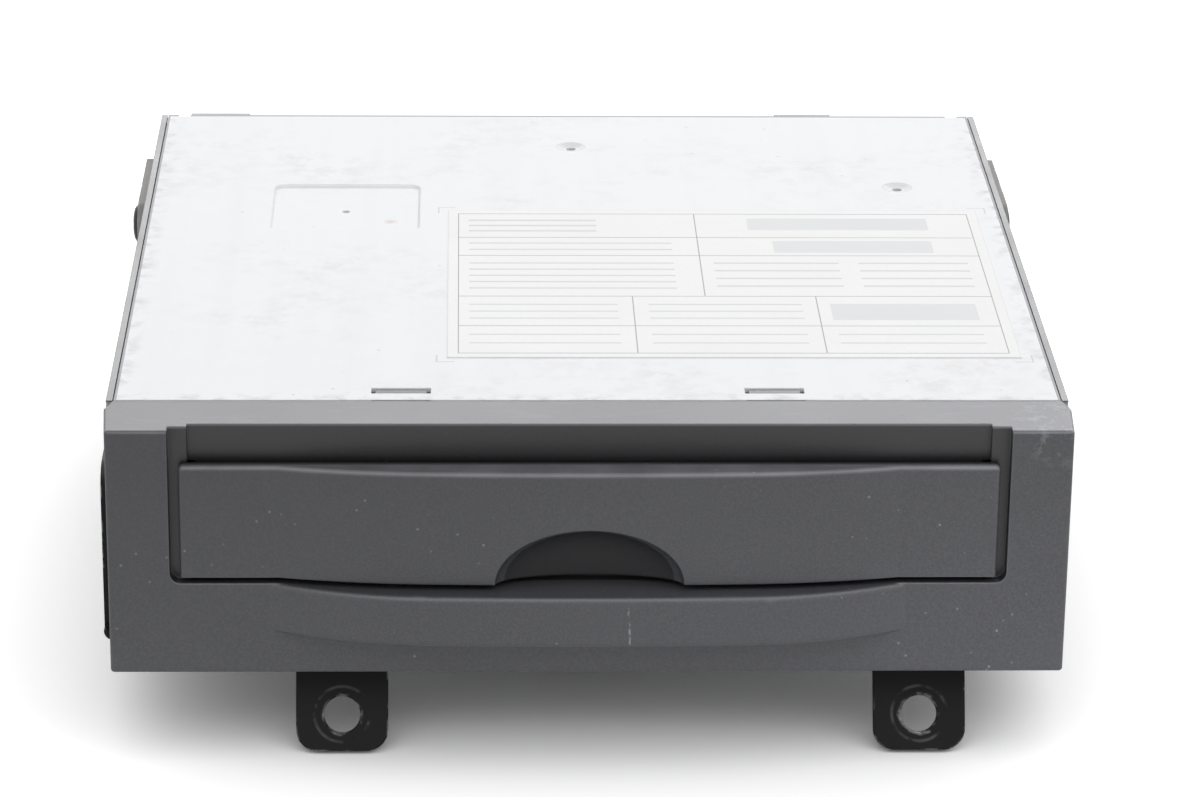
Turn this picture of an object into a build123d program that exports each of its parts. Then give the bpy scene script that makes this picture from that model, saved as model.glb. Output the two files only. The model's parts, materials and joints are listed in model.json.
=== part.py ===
from build123d import *

import os
from math import atan2, cos, degrees, radians, sin, sqrt

# Car navigation disc player: sheet-steel case, bezel with a sliding door, slot-loading drive, cradle.
# Millimetres. +Z up, the front faces -Y, the origin is under the middle of the part.

# Case and cover
case_width = 178.0
case_height = 48.2
case_depth = 169.2
sheet = 1.2
cover_sheet = 1.0
seam = 0.2
cut_over = 1.0
cover_side_gap = 0.2
cover_flange = 8.0
cover_flange_start = 2.0
cover_flange_end = 3.0
cover_corner_gap = 8.0
rear_flange = 7.0
rear_flange_gap = 2.0
panel_screw_low = 10.0
panel_screw_high = 34.0
panel_screw_levels = (panel_screw_low, panel_screw_high)
emboss_width = 31.5
emboss_length = 29.6
emboss_sink = 0.45
emboss_corner = 3.0
emboss_rim = 0.5
emboss_slope = 40.0
emboss_x = -47.3
emboss_setback = 123.5
emboss_hole_radius = 0.7
emboss_hole_offset = 1.7
dimple_radius = 2.9
dimple_sink = 0.55
dimple_hole_radius = 1.0
dimple_taper = 0.6
dimple_skin = 0.3
dimple_places = ((0.0, 163.0), (68.0, 136.6))
notch_width = 2.6
notch_length = 1.0
notch_inset = 3.5

# Bezel
bezel_depth = 15.1
bezel_overhang = 0.4
bezel_draft = 1.1
bezel_rear_width = case_width + 2 * bezel_overhang
bezel_front_width = bezel_rear_width - 2 * bezel_draft
bezel_wall = 2.0
bezel_edge = 0.7
recess_side = 15.5
recess_width = case_width - 2 * recess_side
recess_depth = 3.8
track_width = 3.5
track_depth = 2.5
recess_inner_corner = 0.5
recess_floor = 18.1
recess_corner = 2.0
lip_side = 30.5
lip_width = case_width - 2 * lip_side
lip_reach = 7.2
lip_low = 8.2
lip_edge = 1.0
bulge_middle = 29.0
bulge_sag = 0.45
hook_width = 9.6
hook_spacing = 69.4
hook_length = 2.0
hook_thick = 2.0
hook_setback = 4.0
hook_slot_gap = 0.35
hook_side_gap = 0.7
hook_root = 9.0
tongue_reach = 7.0
tongue_thick = 1.9
side_tongue_height = 28.0
side_tongue_level = 6.0
side_tongue_gap = 0.3
floor_tongue_width = 100.0
floor_tongue_reach = 5.0
corner_notch_length = 3.6
corner_notch_front = 0.5
corner_notch_rear = 1.7
corner_notch_depth = 1.5

# Door
door_side_gap = 1.9
door_width = recess_width + 2 * track_width - 2 * door_side_gap
door_height = 22.0
door_gap = 1.2
door_thick = 2.2
door_bulge_inset = 1.5
door_bulge_width = lip_width - 2 * door_bulge_inset
door_reach = 3.7
door_edge = 0.9
door_end_edge = 0.7
door_travel = 19.5
door_pocket = 1.4
door_pocket_border = 2.5
door_pocket_start = 21.0
door_pocket_end = 50.0
scoop_half_width = 17.4
scoop_height = 10.9
scoop_depth = 5.0
guide_inset = 0.7
guide_spacing = recess_width - 2 * guide_inset
guide_neck = 1.0
guide_level = 0.4
guide_head = 6.0
guide_height = 1.6
guide_head_thick = 1.6
guide_clearance = 0.2
leaf_thick = 0.3
leaf_width = 5.0
leaf_low = 19.0
leaf_high = 42.0
leaf_ear_height = 6.0
leaf_boss_level = 31.0
leaf_boss_offset = 3.4
leaf_boss_radius = 1.8
leaf_stake_radius = 0.8
leaf_stake_proud = 0.5
leaf_stake_clearance = 0.1

# Disc slot
slot_side = 11.5
slot_width = recess_width - 2 * slot_side
slot_height = 6.0
felt_thick = 1.2
felt_height = 2.3
felt_inset = 2.0
passage_height = 4.4
slot_level = 34.0

# Eject button and its switch
button_side = 18.5
button_x = recess_width / 2 - button_side
button_level = 24.6
button_width = 13.4
button_height = 5.4
button_clearance = 0.3
button_corner = 0.9
button_edge = 0.4
button_proud = 0.6
button_flange = 0.8
plunger_radius = 1.5
plunger_clearance = 0.2
plunger_stroke = 1.2
switch_back = 0.3
switch_size = 6.0
switch_thick = 2.4
front_board_width = 24.0
front_board_height = 9.6
board_standoff = 4.6
board_boss_inset = 2.2
board_boss_radius = 1.9
small_screw_radius = 0.7
small_screw_head_radius = 1.9
small_screw_head = 1.1
small_screw_depth = 1.5
thread_clearance = 0.02
button_play = 0.1
board_thick = 1.6

# Cradle
cradle_sheet = 2.0
cradle_bend = 1.8
tab_drop = 19.3
tab_lean = 25.0
tab_width = 17.3
tab_corner = 4.0
tab_hole_radius = 3.4
tab_hole_from_bend = 13.5
tab_left_x = -45.9
tab_right_x = 62.8
tab_front_setback = 13.5
tab_rear_setback = 12.0
tab_tongue = 5.5
plate_height = 32.0
left_plate_setback = 21.0
right_plate_setback = 36.0
plate_rear_setback = 17.5
plate_corner = 5.0
ear_height = 45.4
ear_length = 38.0
window_width = 62.0
window_length = 110.0
window_corner = 6.0
window_x = 44.0
screw_head_radius = 4.0
screw_head = 1.6
screw_radius = 2.0
screw_clearance = 0.1
screw_inside = 2.0
cradle_screw_front_y = 60.0
cradle_screw_rear_y = 142.0
cradle_screw_front_level = 16.0
cradle_screw_rear_level = 38.0

# Label
label_width = 109.0
label_length = 84.0
label_thick = 0.15
label_side = 6.2
label_x = case_width / 2 - label_side - label_width / 2
label_setback = 37.2

# Boards
main_board_side = 16.0
main_board_width = case_width - 2 * main_board_side
main_board_setback = 24.0
main_board_length = 152.0
board_columns = 146
board_rows = 152
package_unit = 1.0
standoff_height = 4.0
standoff_radius = 3.0
standoff_inset = 6.0
standoff_clearance = 0.3
board_screw_radius = 1.4
board_screw_head_radius = 2.6
board_screw_head = 1.5
board_screw_clearance = 0.2
board_screw_lift = 0.5
insulator_thick = 0.3
can_width = 44.0
can_length = 34.0
can_height = 5.0
can_wall = 0.4
can_x = 22.0
can_setback = 112.0
gyro_x = 58.0
gyro_setback = 136.0
gyro_width = 12.0
gyro_length = 16.0
gyro_height = 6.0

# Rear sockets
socket_reach = 6.0
socket_wall = 1.2
socket_depth = 9.0
socket_length = 20.0
socket_gap = 0.3
antenna_body_gap = 0.3
main_socket_width = 44.0
main_socket_height = 14.0
main_socket_x = -40.0
pin_size = 0.8
pin_clearance = 0.02
pin_pitch = 3.0
pin_columns = 12
pin_rows = 2
pin_row_pitch = 4.4
pin_reach = 4.0
antenna_radius = 4.4
antenna_bore = 3.4
antenna_xs = (0.0, 16.0)
antenna_contact_radius = 0.6
video_socket_width = 20.0
video_socket_height = 9.6
video_socket_x = 48.0
panel_screw_radius = 1.5
panel_screw_head_radius = 3.0
panel_screw_head = 1.6
panel_screw_inside = 3.0
panel_border = 0.4
panel_top_gap = 1.7
panel_tab_height = 3.0
panel_tab_gap = 0.1
left_tab_inset = 6.4
left_tab_width = 12.8
right_tab_inset = 31.5
right_tab_width = 12.3
vent_count = 9
vent_pitch = 5.0
vent_width = 2.2
vent_height = 14.0
vent_level = 34.0

# Drive box
drive_side = 15.0
drive_width = case_width - 2 * drive_side
drive_setback = 24.0
drive_length = 144.0
drive_floor_level = 18.0
drive_height = 26.0
drive_ear_width = 16.0
drive_ear_level = 27.4
drive_ear_y = (40.0, 155.0)
post_inset = 8.5
post_x = case_width / 2 - post_inset
post_radius = 3.0
post_neck_radius = 2.0
post_bore_radius = 1.0
post_bore_depth = 6.0
damper_radius = 5.5
damper_groove_radius = 4.1
damper_flange = 2.4
damper_clearance = 0.1
damper_edge = 0.6
damper_ear_clearance = 0.2
drive_screw_head_radius = 4.2
drive_screw_head = 1.6
drive_screw_length = 5.0
top_screw_radius = 1.0
top_screw_head_radius = 2.2
top_screw_head = 1.0
top_screw_inset = 4.5
top_screw_clearance = 0.1
top_screw_setbacks = (6.0, 136.0)
frame_lug_reach = 8.0
frame_lug_width = 9.0
clamp_window_radius = 20.0
guide_block_length = 14.0
guide_block_thick = 2.0
guide_post_size = 5.0
guide_post_xs = (-50.0, 0.0, 50.0)

# Loading gear train
gear_module = 0.6
gear_face = 3.0
roller_teeth = 16
idler_teeth = 30
pinion_teeth = 12
gear_addendum = 0.8
gear_dedendum = 1.3
tooth_share = 0.40
tip_share = 0.24
root_share = 0.60
gear_side_gap = 0.4
roller_setback = 33.0
roller_radius = 4.0
roller_waist_radius = 3.5
roller_end_gap = 6.0
roller_length = slot_width - 2 * roller_end_gap
roller_shaft_radius = 1.5
running_clearance = 0.05
roller_drop = 0.2
arm_sheet = 1.2
arm_pivot_level = 30.6
arm_plate_radius = 3.6
arm_side_gap = 10.8
arm_span = drive_width - 2 * arm_side_gap
arm_bridge_width = 5.0
arm_bridge_offset = 4.0
arm_bridge_drop = 4.6
stud_radius = 2.0
stud_proud = 0.6
roller_shaft_proud = 1.0
pinion_angle = -18.0
pinion_shaft_radius = 1.0
pinion_shaft_length = 5.0
shaft_end_gap = 0.3
loading_motor_radius = 4.0
loading_motor_length = 24.0

# Traverse deck
deck_level = 20.0
deck_side_gap = 3.0
deck_width = drive_width - 2 * deck_side_gap
deck_setback = 76.0
deck_length = 62.0
deck_spacer_radius = 2.5
deck_spacer_inset = 5.0
deck_window_border = 8.0
deck_window_start = 13.0
deck_window_length = 24.0
rod_post_thick = 3.0
rod_post_width = 5.0
rod_post_cap = 2.4
rod_fit = 0.01
spindle_setback = 102.0
spindle_motor_radius = 11.5
spindle_motor_height = 6.2
spindle_shaft_radius = 1.5
turntable_radius = 13.0
turntable_seat_level = 30.4
turntable_thick = 2.0
turntable_cone_radius = 7.3
turntable_cone_height = 1.4
turntable_cone_taper = 1.6
spindle_end_gap = 0.3
spindle_bore_level = 1.0
rod_radius = 1.5
rod_spacing = 36.0
rod_level = 25.2
rod_start = 8.0
rod_end_gap = 1.0
rod_length = deck_width / 2 - rod_start - rod_end_gap
pickup_x = 24.0
pickup_width = 19.0
pickup_low = 22.4
pickup_high = 29.2
pickup_side = 4.0
pickup_corner = 1.5
pickup_bridge = 2.6
lens_radius = 2.6
lens_height = 1.2
lens_proud = 0.5
lens_edge = 0.5
lead_screw_radius = 1.4
lead_screw_offset = 8.6
lead_screw_start = 2.0
sled_motor_radius = 4.0
sled_motor_length = 17.0
sled_motor_overlap = 4.0
sled_bore_gap = 0.3
sled_foot = (-8.0, 4.0)
sled_foot_width = 6.0
sled_foot_bite = 0.6

# Clamp
clamp_radius = 11.0
clamp_thick = 1.8
clamp_neck_radius = 3.6
clamp_flange_radius = 5.6
clamp_flange = 1.0
clamp_hole_clearance = 0.4
clamp_hollow = 0.9
clamp_hollow_gap = 0.6
clamp_end_play = 0.3
clamp_disc_gap = 1.3
clamp_open = 5.8
clamp_pivot_setback = 163.6
clamp_pivot_level = 39.5
clamp_pin_radius = 1.5
clamp_barrel_radius = 2.5
clamp_barrel_length = 26.0
clamp_arm_width = 16.0
clamp_arm_nose = 9.0
clamp_arm_bend = 4.0
clamp_arm_low = 1.6
clamp_arm_high = 1.2
clamp_ear_half = 3.2
clamp_ear_gap = 0.3
clamp_pin_fit = 0.01
ear_thick = 1.2
ear_gap = 0.4

# Drive board and flat cables
pillar_thick = 0.8
pillar_radius = 2.5
pillar_inset = 6.0
drive_board_width = 88.0
drive_board_setback = 92.0
drive_board_length = 58.0
cable_width = 20.0
cable_thick = 0.3
cable_bend = 2.0
cable_reach = 9.0
cable_socket_width = 24.0
cable_socket_length = 5.0
cable_socket_height = 1.6
cable_low_socket_height = 2.4
cable_entry = 2.0
cable_level = 0.8
cable_low_level = 1.2

# Datums worked out from the sizes
overall_depth = lip_reach + bezel_depth + seam + case_depth + seam + sheet + socket_reach
front_y = lip_reach - overall_depth / 2
back_y = front_y + bezel_depth + seam
rear_y = back_y + case_depth
panel_y = rear_y + seam
sockets_y = panel_y + sheet + socket_reach
base_z = tab_drop
top_z = base_z + case_height
half_case = case_width / 2
panel_tabs = (
    (left_tab_inset - half_case, left_tab_inset + left_tab_width - half_case),
    (half_case - right_tab_inset - right_tab_width, half_case - right_tab_inset),
)
inner_half = half_case - sheet
cover_half = inner_half - cover_side_gap
recess_half = recess_width / 2
track_half = recess_half + track_width
recess_z = base_z + recess_floor
wall_y = front_y + recess_depth
wall_back_y = wall_y + bezel_wall
slot_z = base_z + slot_level
passage_low = slot_z - passage_height / 2
passage_high = slot_z + passage_height / 2
door_z = recess_z + door_gap
guide_z = door_z + guide_level
floor_z = base_z + sheet
main_board_z = floor_z + standoff_height
main_board_top = main_board_z + board_thick
main_board_y = (front_y + main_board_setback, front_y + main_board_setback + main_board_length)
drive_half = drive_width / 2
drive_y = (front_y + drive_setback, front_y + drive_setback + drive_length)
drive_z = base_z + drive_floor_level
drive_top = drive_z + drive_height
ear_z = base_z + drive_ear_level
spindle_y = front_y + spindle_setback
deck_z = base_z + deck_level
seat_z = base_z + turntable_seat_level
hook_y = back_y + hook_setback


def block(x, y, z, mode=Mode.ADD):
    """Add a box between the (low, high) pairs x, y and z."""
    with Locations(tuple((low + high) / 2 for low, high in (x, y, z))):
        Box(*(high - low for low, high in (x, y, z)), mode=mode)


def span(centre, size):
    """The (low, high) pair of a size about its centre."""
    return (centre - size / 2, centre + size / 2)


def bar(start, direction, radius, length, mode=Mode.ADD):
    """Add a round bar from a start point along a direction."""
    with Locations(Plane(origin=start, z_dir=direction)):
        Cylinder(radius, length, align=(Align.CENTER, Align.CENTER, Align.MIN), mode=mode)


def front_plane(y):
    """A plane seen from the front: x to the right, y up, extruding towards the viewer."""
    return Plane.XZ.offset(-y)


def bulge_front(half_width, reach):
    """Three tangent arcs, shallow in the middle, that bulge forward of the bezel's face."""
    shoulder_y = front_y - reach + bulge_sag
    middle = ThreePointArc((-bulge_middle, shoulder_y), (0, front_y - reach), (bulge_middle, shoulder_y))
    TangentArc(middle @ 1, (half_width, front_y), tangent=middle % 1)
    TangentArc(middle @ 0, (-half_width, front_y), tangent=-(middle % 0))


def gear_outline(teeth, phase):
    """Points of a spur gear with straight-sided teeth, one of them centred at the phase in degrees."""
    pitch_radius = gear_module * teeth / 2
    root = pitch_radius - gear_module * gear_dedendum
    tip = pitch_radius + gear_module * gear_addendum
    pitch = 360 / teeth
    corners = (
        (root, -root_share / 2),
        (pitch_radius, -tooth_share / 2),
        (tip, -tip_share / 2),
        (tip, tip_share / 2),
        (pitch_radius, tooth_share / 2),
        (root, root_share / 2),
    )
    points = []
    for tooth in range(teeth):
        for radius, share in corners:
            angle = radians(phase + pitch * (tooth + share))
            points.append((radius * cos(angle), radius * sin(angle)))
    return points


def mesh_phase(line, phase, teeth, next_teeth):
    """Phase of a gear that meshes, along a line of centres in degrees, with one of known phase."""
    gap = line + 180 - teeth / next_teeth * (phase - line)
    return gap + 180 / next_teeth


def side_plane(x, y, z):
    """A plane seen from +X: its x along world Y and its y along world Z."""
    return Plane(origin=(x, y, z), x_dir=(0, 1, 0), z_dir=(1, 0, 0))


# Case: floor and two walls folded from one sheet, with flanges at the back
cradle_screw_spots = (
    (front_y + cradle_screw_front_y, base_z + cradle_screw_front_level),
    (front_y + cradle_screw_rear_y, base_z + cradle_screw_rear_level),
)
panel_screw_spots = tuple(
    (side * (inner_half - rear_flange / 2), base_z + level)
    for side in (-1, 1)
    for level in panel_screw_levels
)
with BuildPart() as chassis_case:
    block((-half_case, half_case), (back_y, rear_y), (base_z, top_z))
    block((-inner_half, inner_half), (back_y, rear_y), (floor_z, top_z), mode=Mode.SUBTRACT)
    block((-inner_half, inner_half), (rear_y - sheet, rear_y), (floor_z, floor_z + rear_flange / 2))
    for side in (-1, 1):
        flange_x = sorted((side * inner_half, side * (inner_half - rear_flange)))
        block(flange_x, (rear_y - sheet, rear_y), (floor_z, top_z - cover_flange - rear_flange_gap))
        for y, z in cradle_screw_spots:
            bar((side * (inner_half - cut_over), y, z), (side, 0, 0), screw_radius + screw_clearance,
                sheet + 2 * cut_over, mode=Mode.SUBTRACT)
    for x, z in panel_screw_spots:
        bar((x, rear_y - sheet - cut_over, z), (0, 1, 0), panel_screw_radius + screw_clearance,
            sheet + 2 * cut_over, mode=Mode.SUBTRACT)

# Cover: lid with turned-down sides, pierced for the bezel's hooks
hook_slot_width = hook_width + 2 * hook_side_gap
emboss_spot = (emboss_x, front_y + emboss_setback)
dimple_spots = tuple((x, front_y + setback) for x, setback in dimple_places)
with BuildPart() as top_cover:
    cover_low = top_z - cover_sheet
    block((-cover_half, cover_half), (back_y, rear_y), (cover_low, top_z))
    for side in (-1, 1):
        flange_x = sorted((side * cover_half, side * (cover_half - cover_sheet)))
        block(flange_x, (back_y + cover_flange_start, rear_y - cover_flange_end),
              (top_z - cover_flange, cover_low))
    block((-cover_half + cover_corner_gap, cover_half - cover_corner_gap), (rear_y - cover_sheet, rear_y),
          (top_z - cover_flange, cover_low))
    for side in (-1, 1):
        slot_x = span(side * hook_spacing / 2, hook_slot_width)
        block(slot_x, (hook_y - hook_slot_gap, hook_y + hook_length + hook_slot_gap), (cover_low, top_z),
              mode=Mode.SUBTRACT)
        block(slot_x, (back_y, back_y + hook_slot_gap), (cover_low, top_z), mode=Mode.SUBTRACT)
        block(span(side * (cover_half - notch_inset), notch_width), (rear_y - notch_length, rear_y),
              (cover_low, top_z), mode=Mode.SUBTRACT)
    with BuildSketch(Plane.XY.offset(cover_low - emboss_sink)):
        with Locations(emboss_spot):
            RectangleRounded(emboss_width, emboss_length, emboss_corner)
    extrude(amount=emboss_sink)
    with BuildSketch(Plane.XY.offset(top_z)):
        with Locations(emboss_spot):
            RectangleRounded(emboss_width - 2 * emboss_rim, emboss_length - 2 * emboss_rim,
                             emboss_corner - emboss_rim)
    extrude(amount=-emboss_sink, taper=emboss_slope, mode=Mode.SUBTRACT)
    bar((emboss_x, emboss_spot[1] - emboss_hole_offset, top_z), (0, 0, -1), emboss_hole_radius,
        cover_sheet + emboss_sink, mode=Mode.SUBTRACT)
    for x, y in dimple_spots:
        with Locations((x, y, cover_low - dimple_sink / 2)):
            Cone(dimple_radius - dimple_taper, dimple_radius + dimple_skin, dimple_sink)
        with Locations((x, y, top_z - dimple_sink / 2)):
            Cone(dimple_hole_radius + dimple_taper, dimple_radius, dimple_sink, mode=Mode.SUBTRACT)
        bar((x, y, top_z), (0, 0, -1), dimple_hole_radius, cover_sheet + dimple_sink, mode=Mode.SUBTRACT)

# Label: a blank printed sheet stuck on the cover
label_y = (front_y + label_setback, front_y + label_setback + label_length)
with BuildPart() as label_sheet:
    block(span(label_x, label_width), label_y, (top_z, top_z + label_thick))

# Places on the back of the bezel's recess wall for the switch board and the door's leaf springs
board_front_y = wall_back_y + board_standoff
board_spots = tuple(
    (button_x + side * (front_board_width / 2 - board_boss_inset), base_z + button_level) for side in (-1, 1)
)
leaf_y = wall_back_y + guide_clearance + guide_head_thick + guide_clearance
leaf_boss_x = guide_spacing / 2 - guide_head / 2 - leaf_boss_offset

# Bezel: drafted shell with an open-topped recess and a bulged lip
with BuildPart() as front_bezel:
    with BuildSketch(Plane.XY.offset(base_z + lip_low)):
        with BuildLine():
            bulge_front(lip_width / 2, lip_reach)
            Polyline((-lip_width / 2, front_y), (-lip_width / 2, front_y + bezel_wall),
                     (lip_width / 2, front_y + bezel_wall), (lip_width / 2, front_y))
        make_face()
    extrude(amount=recess_floor - lip_low)
    lip_edges = front_bezel.edges().filter_by(GeomType.CIRCLE)
    fillet(lip_edges, lip_edge)
    with BuildSketch(Plane.XY.offset(base_z)):
        with BuildLine():
            Polyline((-bezel_front_width / 2, front_y), (bezel_front_width / 2, front_y),
                     (bezel_rear_width / 2, front_y + bezel_depth),
                     (-bezel_rear_width / 2, front_y + bezel_depth), close=True)
        make_face()
    extrude(amount=case_height)
    outer_edges = front_bezel.edges().filter_by(Axis.Z).filter_by(
        lambda edge: abs(abs(edge.center().X) - bezel_front_width / 2) < 0.01)
    fillet(outer_edges, bezel_edge)
    rim = front_bezel.edges().filter_by(Axis.X).filter_by(
        lambda edge: abs(edge.center().Y - front_y) < 0.01
        and min(abs(edge.center().Z - base_z), abs(edge.center().Z - top_z)) < 0.01)
    fillet(rim, bezel_edge)
    for half, depth, corner in ((track_half, track_depth, recess_corner),
                                (recess_half, recess_depth, recess_inner_corner)):
        with BuildSketch(front_plane(front_y + depth)):
            with Locations((0, recess_z + case_height / 2)):
                RectangleRounded(2 * half, case_height, corner)
        extrude(amount=depth + cut_over, mode=Mode.SUBTRACT)
    pocket_half = bezel_front_width / 2 - bezel_wall
    pocket_y = front_y + bezel_wall
    inside_back = front_y + bezel_depth
    below_recess = recess_z - bezel_wall
    block((-pocket_half, pocket_half), (pocket_y, inside_back), (base_z + bezel_wall, below_recess),
          mode=Mode.SUBTRACT)
    block((-pocket_half, pocket_half), (wall_back_y, inside_back), (below_recess, top_z - bezel_wall),
          mode=Mode.SUBTRACT)
    for side in (-1, 1):
        block(sorted((side * (track_half + bezel_wall), side * pocket_half)), (pocket_y, inside_back),
              (below_recess, top_z - bezel_wall), mode=Mode.SUBTRACT)
    with BuildSketch(Plane.XY.offset(base_z + lip_low + bezel_wall)):
        with BuildLine():
            bulge_front(lip_width / 2 - bezel_wall, lip_reach - bezel_wall)
            Polyline((-lip_width / 2 + bezel_wall, front_y), (-lip_width / 2 + bezel_wall, pocket_y),
                     (lip_width / 2 - bezel_wall, pocket_y), (lip_width / 2 - bezel_wall, front_y))
        make_face()
    extrude(amount=recess_floor - lip_low - 2 * bezel_wall, mode=Mode.SUBTRACT)
    with BuildSketch(front_plane(wall_back_y)):
        with Locations((0, slot_z)):
            SlotOverall(slot_width, slot_height)
        with Locations((button_x, base_z + button_level)):
            RectangleRounded(button_width + 2 * button_clearance, button_height + 2 * button_clearance,
                             button_corner)
        with Locations(*((side * guide_spacing / 2, guide_z + (guide_height + door_travel) / 2)
                         for side in (-1, 1))):
            Rectangle(guide_neck + 2 * guide_clearance, guide_height + door_travel + 2 * guide_clearance)
    extrude(amount=bezel_wall, mode=Mode.SUBTRACT)
    for side in (-1, 1):
        hook_x = span(side * hook_spacing / 2, hook_width)
        hook_top = top_z - cover_sheet - seam
        block(hook_x, (front_y + hook_root, hook_y + hook_length), (hook_top - hook_thick, hook_top))
        block(hook_x, (hook_y, hook_y + hook_length), (hook_top - hook_thick, top_z - seam))
        tongue_outer = inner_half - side_tongue_gap
        block(sorted((side * tongue_outer, side * (tongue_outer - tongue_thick))),
              (front_y + hook_root, back_y + tongue_reach),
              (base_z + side_tongue_level, base_z + side_tongue_level + side_tongue_height))
    block(span(0, floor_tongue_width), (front_y + hook_root, back_y + floor_tongue_reach),
          (floor_z + seam, floor_z + seam + tongue_thick))
    for x, z in board_spots:
        bar((x, wall_back_y, z), (0, 1, 0), board_boss_radius, board_standoff)
        bar((x, board_front_y, z), (0, -1, 0), small_screw_radius, board_standoff - cut_over,
            mode=Mode.SUBTRACT)
    for side in (-1, 1):
        leaf_boss = (side * leaf_boss_x, wall_back_y, base_z + leaf_boss_level)
        bar(leaf_boss, (0, 1, 0), leaf_boss_radius, leaf_y - wall_back_y)
        bar(leaf_boss, (0, 1, 0), leaf_stake_radius, leaf_y - wall_back_y + leaf_thick + leaf_stake_proud)
    for side in (-1, 1):
        with BuildSketch(Plane.XY.offset(top_z)):
            with BuildLine():
                corner_x = side * bezel_rear_width / 2
                notch_front = inside_back - corner_notch_length
                Polyline((corner_x, inside_back), (corner_x - side * corner_notch_rear, inside_back),
                         (corner_x - side * corner_notch_front, notch_front), (corner_x, notch_front),
                         close=True)
            make_face()
        extrude(amount=-corner_notch_depth, mode=Mode.SUBTRACT)

# Door: slides up in the recess on two T-shaped guides beside the tracks
finger_scoop = scale(Sphere(1), by=(scoop_half_width, scoop_depth, scoop_height))
door_back_y = front_y + door_thick
with BuildPart() as sliding_door:
    with BuildSketch(Plane.XY.offset(door_z)):
        with BuildLine():
            bulge_front(door_bulge_width / 2, door_reach)
            Polyline((door_bulge_width / 2, front_y), (door_width / 2, front_y),
                     (door_width / 2, door_back_y), (-door_width / 2, door_back_y),
                     (-door_width / 2, front_y), (-door_bulge_width / 2, front_y))
        make_face()
    extrude(amount=door_height)
    end_edges = sliding_door.edges().filter_by(Axis.Z).filter_by(
        lambda edge: abs(edge.center().Y - front_y) < 0.01 and abs(edge.center().X) > door_width / 2 - 0.01)
    fillet(end_edges, door_end_edge)
    top_edges = sliding_door.faces().sort_by(Axis.Z)[-1].edges()
    fillet(top_edges.filter_by(lambda edge: edge.center().Y < door_back_y - door_thick / 2), door_edge)
    add(Pos(0, front_y - door_reach, door_z) * finger_scoop, mode=Mode.SUBTRACT)
    for side in (-1, 1):
        block(sorted((side * door_pocket_start, side * door_pocket_end)),
              (door_back_y - door_pocket, door_back_y),
              (door_z + door_pocket_border, door_z + door_height - door_pocket_border), mode=Mode.SUBTRACT)
        guide_x = side * guide_spacing / 2
        head_y = wall_back_y + guide_clearance
        guide_levels = (guide_z, guide_z + guide_height)
        block(span(guide_x, guide_neck), (door_back_y, head_y), guide_levels)
        block(span(guide_x, guide_head), (head_y, head_y + guide_head_thick), guide_levels)

# Leaf springs that hold the door up or down
leaf_back_y = leaf_y + leaf_thick
with BuildPart() as door_detent_springs:
    for side in (-1, 1):
        guide_x = side * guide_spacing / 2
        block(span(guide_x, leaf_width), (leaf_y, leaf_back_y), (base_z + leaf_low, base_z + leaf_high))
        block(sorted((guide_x, side * (leaf_boss_x - leaf_ear_height / 2))), (leaf_y, leaf_back_y),
              span(base_z + leaf_boss_level, leaf_ear_height))
        bar((side * leaf_boss_x, leaf_y, base_z + leaf_boss_level), (0, 1, 0),
            leaf_stake_radius + leaf_stake_clearance, leaf_thick, mode=Mode.SUBTRACT)

# Felt strips along the slot's edges, glued behind the wall
with BuildPart() as slot_felts:
    felt_x = span(0, slot_width - 2 * felt_inset)
    felt_y = (wall_back_y, wall_back_y + felt_thick)
    block(felt_x, felt_y, (passage_low - felt_height, passage_low))
    block(felt_x, felt_y, (passage_high, passage_high + felt_height))

# Eject button, held behind the wall by its flange
button_z = base_z + button_level
button_back_y = wall_back_y + button_play + button_flange
with BuildPart() as eject_button:
    with BuildSketch(front_plane(wall_back_y + button_play)):
        with Locations((button_x, button_z)):
            RectangleRounded(button_width, button_height, button_corner)
    extrude(amount=bezel_wall + button_play + button_proud)
    fillet(eject_button.faces().sort_by(Axis.Y)[0].edges(), button_edge)
    block(span(button_x, button_width + 2 * button_flange), (wall_back_y + button_play, button_back_y),
          span(button_z, button_height + 2 * button_flange))

# Switch behind the button: the plunger moves with the button
switch_y = board_front_y - switch_thick
with BuildPart() as switch_plunger:
    bar((button_x, button_back_y, button_z), (0, 1, 0), plunger_radius,
        board_front_y - plunger_stroke - button_back_y)
with BuildPart() as switch_body:
    block(span(button_x, switch_size), (switch_y, board_front_y), span(button_z, switch_size))
    bar((button_x, switch_y, button_z), (0, 1, 0), plunger_radius + plunger_clearance,
        switch_thick - switch_back, mode=Mode.SUBTRACT)
with BuildPart() as front_board:
    block(span(button_x, front_board_width), (board_front_y, board_front_y + board_thick),
          span(button_z, front_board_height))
    for x, z in board_spots:
        bar((x, board_front_y, z), (0, 1, 0), small_screw_radius + screw_clearance, board_thick,
            mode=Mode.SUBTRACT)
with BuildPart() as front_board_screws:
    board_back_y = board_front_y + board_thick
    for x, z in board_spots:
        bar((x, board_back_y, z), (0, -1, 0), small_screw_radius - thread_clearance,
            board_thick + board_standoff - small_screw_depth)
        bar((x, board_back_y, z), (0, 1, 0), small_screw_head_radius, small_screw_head)

# Cradle: floor, side plates with ears, and four leaning tabs
cradle_low = base_z - cradle_sheet
cradle_front = front_y + tab_front_setback + tab_tongue
cradle_rear = rear_y - tab_rear_setback - tab_tongue
outer_half = half_case + cradle_sheet
tab_length = (tab_drop - cradle_sheet * sin(radians(tab_lean))) / cos(radians(tab_lean))
tab_bends = ((front_y + tab_front_setback, -1), (rear_y - tab_rear_setback, 1))
plate_rear = rear_y - plate_rear_setback


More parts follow.
